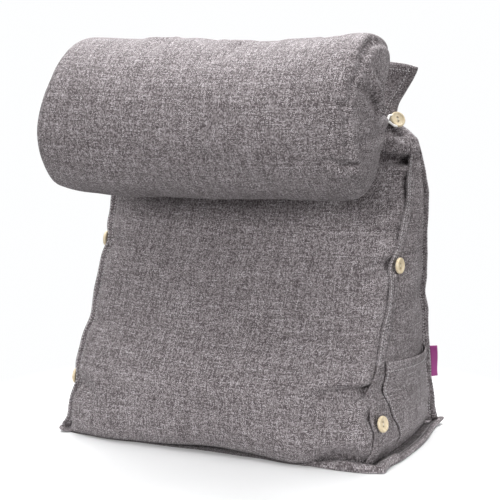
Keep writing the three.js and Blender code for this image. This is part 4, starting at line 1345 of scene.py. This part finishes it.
def flange_rows():
    rows = []
    for name in CORNERS:
        low = PLAIN_BELOW if name == "front_right" else FLANGE_LOW + END_LOW
        z = np.arange(low, FLANGE_HIGH - END_HIGH, LINE_STEP)
        left = flange_frame(name, z)[2]
        for side in (-1, 1):
            # A row beside the fold, which is also a painted highlight along it, and a row at the stitch line.
            for from_edge in (FOLD_HIGHLIGHT_STITCH, STITCH_LINE):
                rows.append((flange_point(name, z, from_edge, side, STITCH_RAISE), left * side))
    return rows


def base_row():
    row = base_point(*BASE_STITCH)[BASE_ROW_FROM:BASE_ROW_TO]
    row[:, 2] += STITCH_RAISE
    return [(row, np.tile((0.0, 0.0, 1.0), (len(row), 1)))]


def on_cover(x, z, way):
    """Points of the cover straight before (way -1) or behind (way 1) places of the flap."""
    found = []
    for a, b in zip(x, z):
        place, normal = wedge_tree.ray_cast(Vector((a * MM, way * BESIDE, b * MM)), Vector((0, -way, 0)))[:2]
        if place:
            found.append((np.array(place) / MM + np.array(normal) * STITCH_RAISE, np.array(normal)))
    return np.array([p for p, _ in found]), np.array([n for _, n in found])


def flap_rows():
    top, top_half = LEVELS[-1, 0], LEVELS[-1, 1]
    z = np.arange(FLAP_STITCH_FROM, top - FLAP_STITCH_IN, LINE_STEP)
    half = level_curves["half"](z) - FLAP_STITCH_IN
    x = np.arange(-top_half + FLAP_STITCH_IN, top_half - FLAP_STITCH_IN, LINE_STEP)
    ridge = top - RIDGE_DROP * np.minimum(1, np.abs(x) / top_half) ** RIDGE_SHARPNESS - FLAP_STITCH_IN
    rows = []
    for way in (-1, 1):
        rows += [on_cover(half, z, way), on_cover(-half, z, way), on_cover(x, ridge, way)]
    return rows


def pocket_rows():
    hem_row = np.argmin(np.abs(pocket_z[:, 0] - (POCKET_MOUTH_FRONT - HEM_STITCH)))
    raised = outer + (STITCH_RAISE, 0, 0)
    lines = [raised[hem_row, 1:-1], raised[2:-1, 1], raised[2:-1, POCKET_COLUMNS - 1]]
    return [(line, np.tile((1.0, 0.0, 0.0), (len(line), 1))) for line in lines]


# Flange stitches, with the rows beside each fold that paint a highlight along it.
flange_stitches_and_fold_highlights = stitch_piece("flange_stitches_and_fold_highlights", flange_rows())
base_stitches = stitch_piece("base_stitches", base_row())
flap_stitches = stitch_piece("flap_stitches", flap_rows())
pocket_stitches = stitch_piece("pocket_stitches", pocket_rows())

# %% [markdown]
# ## Buttons
# Six wooden buttons stand on short thread stems beside the front seams. Each is turned on a lathe: a rim, a dished
# face and two drilled holes. A lathe is a profile spun about an axis, so the mesh is made the same way, and the holes
# are cut with a boolean.

# %% Button profile, holes and thread
BUTTON = {"radius": 10.5, "thickness": 4.2, "stem": 1.7, "rim": 2.4, "dish": 1.5, "hole": 1.5, "apart": 5.2}
# In from the rim, and height, of each ring on the button's outer side
BUTTON_SIDE = ((1.8, 0), (0.8, 0.3), (0.2, 1.0), (0, 2.0), (0.2, 3.0), (0.7, 3.8))
BUTTON_SEGMENTS, HOLE_SEGMENTS = 48, 20
BUTTON_SEAT_GAP, STRAND_RADIUS, SHARP_ANGLE = 1.3, 0.35, 40
WOOD_DARK, WOOD_PALE, WOOD_GRAIN = (0.60, 0.47, 0.28, 1.0), (0.80, 0.71, 0.53, 1.0), (900.0, 90.0, 1.0)
# Side, height, place behind the seam, stand-off, turn to the front and tip upward of each button
BUTTONS = {
    "button_right_top": (1, 418.5, 6.0, 5.0, 32.0, 0.0),
    "button_right_middle": (1, 240.0, 2.0, 3.0, 10.0, 0.0),
    "button_right_low": (1, 54.0, 5.0, 3.6, 14.0, 12.0),
    "button_left_top": (-1, 418.5, 6.0, 6.4, 20.0, 0.0),
    "button_left_middle": (-1, 249.0, 2.0, 6.4, 12.0, 0.0),
    "button_left_low": (-1, 72.0, 5.0, 7.4, 6.0, 0.0),
}


def make_wood():
    material, tree, surface = new_material("pale_wood", {"Roughness": 0.45})
    place = add_node(tree, "ShaderNodeUVMap", uv_map="weave").outputs[0]
    stretched = add_node(tree, "ShaderNodeMapping", {"Vector": place, "Scale": WOOD_GRAIN}).outputs[0]
    grain = add_node(tree, "ShaderNodeTexNoise", {"Vector": stretched, "Scale": 1.0, "Detail": 3.0}).outputs[0]
    ramp = add_node(tree, "ShaderNodeValToRGB", {"Fac": grain})
    for stop, position, colour in zip(ramp.color_ramp.elements, (0.3, 0.7), (WOOD_DARK, WOOD_PALE)):
        stop.position, stop.color = position, colour
    fill(tree, surface.inputs["Base Color"], ramp.outputs[0])
    return material


wood = make_wood()
cream_thread = make_plain("cream_thread", (0.74, 0.69, 0.58), 0.8)


def ringed(rings):
    """Points and faces of a row of rings, closed at both ends."""
    index = ring_index(len(rings), len(rings[0]))
    faces = grid_quads(index).tolist() + [index[0, :-1][::-1].tolist(), index[-1, :-1].tolist()]
    return np.concatenate(rings), faces


def lathe(profile, segments):
    """Points and faces of a profile of (radius, height) spun about the z axis."""
    turn = np.linspace(0, 2 * math.pi, segments, endpoint=False)
    return ringed([np.stack([r * np.cos(turn), r * np.sin(turn), 0 * turn + h], axis=-1) for r, h in profile])


def tube(points, radius, sides=10):
    """Points and faces of a round tube along a line of points."""
    points = np.asarray(points, float)
    ahead = unit(np.gradient(points, axis=0))
    across = unit(np.cross(ahead[0], (0.31, 0.52, 0.8)))
    rings = []
    turn = np.linspace(0, 2 * math.pi, sides, endpoint=False)
    for place, way in zip(points, ahead):
        across = unit(across - way * (across @ way))
        circle = np.cos(turn)[:, None] * across + np.sin(turn)[:, None] * np.cross(way, across)
        rings.append(place + radius * circle)
    return ringed(rings)


def cut_holes(piece, drills):
    for drill in drills:
        cut = piece.modifiers.new("hole", "BOOLEAN")
        cut.operation, cut.solver, cut.object = "DIFFERENCE", "EXACT", drill
    make_modifiers_real(piece)
    for drill in drills:
        bpy.data.objects.remove(drill)


def make_disc():
    """One drilled button, its back at height 0, facing up."""
    r, thickness, dish = BUTTON["radius"], BUTTON["thickness"], BUTTON["dish"]
    profile = [(r - inward, height) for inward, height in BUTTON_SIDE]
    profile += [(r - 1.4, thickness), (r - BUTTON["rim"], thickness - 0.15), (r - 3.1, thickness - 0.8),
                (r - 4.0, thickness - dish), (0.4, thickness - dish)]
    points, faces = lathe(profile, BUTTON_SEGMENTS)
    disc = new_piece("button_blank", points, faces)
    drills = []
    for way in (-1, 1):
        hole_points, hole_faces = lathe([(BUTTON["hole"], -1), (BUTTON["hole"], 6)], HOLE_SEGMENTS)
        drills.append(new_piece("drill", hole_points + (0, way * BUTTON["apart"] / 2, 0), hole_faces))
    cut_holes(disc, drills)
    points = mesh_points(disc)
    faces = [list(face.vertices) for face in disc.data.polygons]
    bpy.data.objects.remove(disc)
    return points, faces


disc_points, disc_faces = make_disc()


def button_place(side, z, behind_seam, turn, tip):
    """The seat of a button on its side panel and the way its face looks."""
    root = seam_root("front_right" if side > 0 else "front_left", z + BUTTON["radius"] * np.array((-1, 0, 1)))
    up = unit(root[2] - root[0])
    share = behind_seam / (level_curves["back"](z) - level_curves["front"](z))
    bulge = level_curves["side_crown"](z) * max(0.0, 1 - (2 * share - 1) ** 2)
    place = root[1] + (side * bulge, behind_seam, 0)
    turn, tip = math.radians(turn), math.radians(tip)
    facing = np.array((side * math.cos(turn) * math.cos(tip), -math.sin(turn) * math.cos(tip), math.sin(tip)))
    normal = unit(facing - up * (facing @ up)) if tip == 0 else facing
    return place + normal * BUTTON_SEAT_GAP, normal


def make_button(name, side, z, behind_seam, stand_off, turn, tip):
    seat, normal = button_place(side, z, behind_seam, turn, tip)
    up = unit(np.array((0.0, 0.0, 1.0)) - normal * normal[2])
    axes = np.stack([np.cross(up, normal), up, normal])
    dish_height = stand_off + BUTTON["thickness"] - BUTTON["dish"]
    reach = np.linspace(-1, 1, 15)
    over_holes = reach * (BUTTON["apart"] / 2 - 0.5)
    into_holes = dish_height + 0.2 - 2.6 * np.abs(reach) ** 6
    strand = [np.stack([0 * reach + shift, over_holes, into_holes], axis=-1)
              for shift in (-STRAND_RADIUS, STRAND_RADIUS)]
    stem = np.stack([np.zeros(6), np.zeros(6), np.linspace(-1.6, stand_off + 0.2, 6)], axis=-1)
    points, faces, materials = [disc_points + (0, 0, stand_off)], list(disc_faces), [0] * len(disc_faces)
    for line, radius in ((strand[0], STRAND_RADIUS), (strand[1], STRAND_RADIUS), (stem, BUTTON["stem"])):
        more_points, more_faces = tube(line, radius, 8)
        first = sum(len(p) for p in points)
        points.append(more_points)
        faces += [[first + i for i in face] for face in more_faces]
        materials += [1] * len(more_faces)
    local = np.concatenate(points)
    flat = [local[face, :2] * MM + (0.03 * list(BUTTONS).index(name), 0.0) for face in faces]
    button = new_piece(name + "_wood", local @ axes + seat, faces, flat, wood)
    button.data.materials.append(cream_thread)
    button.data.polygons.foreach_set("material_index", np.array(materials, np.int32))
    button.data.set_sharp_from_angle(angle=math.radians(SHARP_ANGLE))
    return button


buttons = {name: make_button(name, *row) for name, row in BUTTONS.items()}
print("buttons:", len(buttons), "faces each:", len(disc_faces))

# %% [markdown]
# ## Elastic loops
# A white elastic loop comes out of each end of the bolster and is hooked behind the disc of a top button. Its two
# strands spread from the cloth to the button, so it shows as a small V.

# %% Loops from the bolster to the top buttons
LOOP_RADIUS, LOOP_HEIGHT, LOOP_POINTS = 1.5, 3.2, 64
# Share of the way from the button to the bolster, and half the spread of the strands there
LOOP_STRAND = ((1.12, 0.9), (0.95, 1.6), (0.55, 7.0), (0.1, 7.6))
LOOP_BEND, LOOP_BEND_SPREAD, LOOP_END = 4.6, 4.2, 6.2
elastic = make_plain("white_elastic", (0.86, 0.85, 0.83), 0.7, 0.2)


def make_loop(name, side, button):
    seat, normal = button_place(*(BUTTONS[button][i] for i in (0, 1, 2, 4, 5)))
    centre = seat + normal * LOOP_HEIGHT
    ear = ear_point(side)
    toward = unit(ear - centre - normal * ((ear - centre) @ normal))
    up = np.cross(normal, toward)
    points = [centre + (ear - centre) * share + up * spread for share, spread in LOOP_STRAND]
    points.append(centre - toward * LOOP_BEND + up * LOOP_BEND_SPREAD)
    line = points + [centre - toward * LOOP_END] + [p - 2 * up * ((p - centre) @ up) for p in points[::-1]]
    line = smooth_line(line, LOOP_POINTS)
    tube_points, tube_faces = tube(line, LOOP_RADIUS, 12)
    return new_piece(name, tube_points, tube_faces, None, elastic), line


loops = {}
for name, side, button in (("loop_right", 1, "button_right_top"), ("loop_left", -1, "button_left_top")):
    loops[name] = make_loop(name + "_elastic", side, button)
    print(name, "length mm:", np.linalg.norm(np.diff(loops[name][1], axis=0), axis=1).sum().round(1))

# %% [markdown]
# ## Ribbon tab
# A short loop of purple ribbon is caught in the back right seam beside the pocket. It is left bare here. The fine
# ribs of the ribbon are a wave texture along its length.

# %% Ribbon tab in the back right seam
TAB_LOW, TAB_HIGH, TAB_REACH, TAB_THICKNESS, TAB_ROWS = 68.0, 112.0, 10.4, 1.5, 22
TAB_BEND, TAB_BEND_TURNS = 0.8, 1.3
# Reach from the seam and share of half the thickness, round the ribbon's fold
TAB_SECTION = (
    (-4.0, -1.0), (3.0, -1.0), (7.0, -1.05), (9.3, -0.9), (10.1, -0.5), (TAB_REACH, 0.0), (10.1, 0.5), (9.3, 0.9),
    (7.0, 1.05), (3.0, 1.0), (-4.0, 1.0),
)
RIBBON_SURFACE = {"Base Color": (0.30, 0.028, 0.20, 1.0), "Roughness": 0.5, "Sheen Weight": 0.2}


def make_ribbon():
    material, tree, surface = new_material("purple_ribbon", RIBBON_SURFACE)
    place = add_node(tree, "ShaderNodeUVMap", uv_map="weave").outputs[0]
    ribs = add_node(tree, "ShaderNodeTexWave", {"Vector": place, "Scale": 160.0, "Distortion": 0.4},
                    bands_direction="Y").outputs[1]
    bump = add_node(tree, "ShaderNodeBump", {"Height": ribs, "Strength": 0.5, "Distance": 0.0002})
    fill(tree, surface.inputs["Normal"], bump.outputs[0])
    return material


ribbon = make_ribbon()
tab_z = np.linspace(TAB_LOW, TAB_HIGH, TAB_ROWS + 1)
tab_root, tab_out, tab_left, tab_width = flange_frame("back_right", tab_z)
bend = TAB_BEND * np.sin((tab_z - TAB_LOW) / (TAB_HIGH - TAB_LOW) * math.pi * TAB_BEND_TURNS)
tab_rows = np.stack([
    tab_root + tab_out * (tab_width + reach)[:, None]
    + tab_left * (half * TAB_THICKNESS / 2 + bend * max(0, reach) / TAB_REACH)[:, None]
    for reach, half in TAB_SECTION], axis=1)
tab_flat_u = np.append(0, np.cumsum(np.abs(np.diff([reach for reach, _ in TAB_SECTION]))))
tab_flat = np.stack(np.broadcast_arrays(tab_flat_u[None] * MM, tab_z[:, None] * MM), axis=-1)
tab = sweep_piece("ribbon_tab_purple", [(tab_rows, tab_flat)], ribbon)

# %% [markdown]
# ## Hand over
# Every piece is listed with the CAD node it stands for and the name of a material slot. The node's own mesh is
# hidden, and the piece rides on the root body.

# %% Hand over
PIECES = [
    (wedge, "wedge_cushion", "linen"), (flanges, "wedge_cushion", "linen"), (base_flange, "wedge_cushion", "linen"),
    (flange_stitches_and_fold_highlights, "wedge_cushion", "linen"), (base_stitches, "wedge_cushion", "linen"),
    (flap_stitches, "wedge_cushion", "linen"), (bolster, "neck_bolster", "linen"), (pocket, "pocket_right", "linen"),
    (pocket_stitches, "pocket_right", "linen"), (tab, "ribbon_tab", "ribbon"),
]
PIECES += [(button, name, "wood") for name, button in buttons.items()]
PIECES += [(loop, name, "elastic") for name, (loop, line) in loops.items()]
for piece, node, slot in PIECES:
    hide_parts(node)
    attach(piece, "root")
print("pieces:", len(PIECES), "triangles:", sum(len(p.data.loops) - 2 * len(p.data.polygons) for p, _, _ in PIECES))
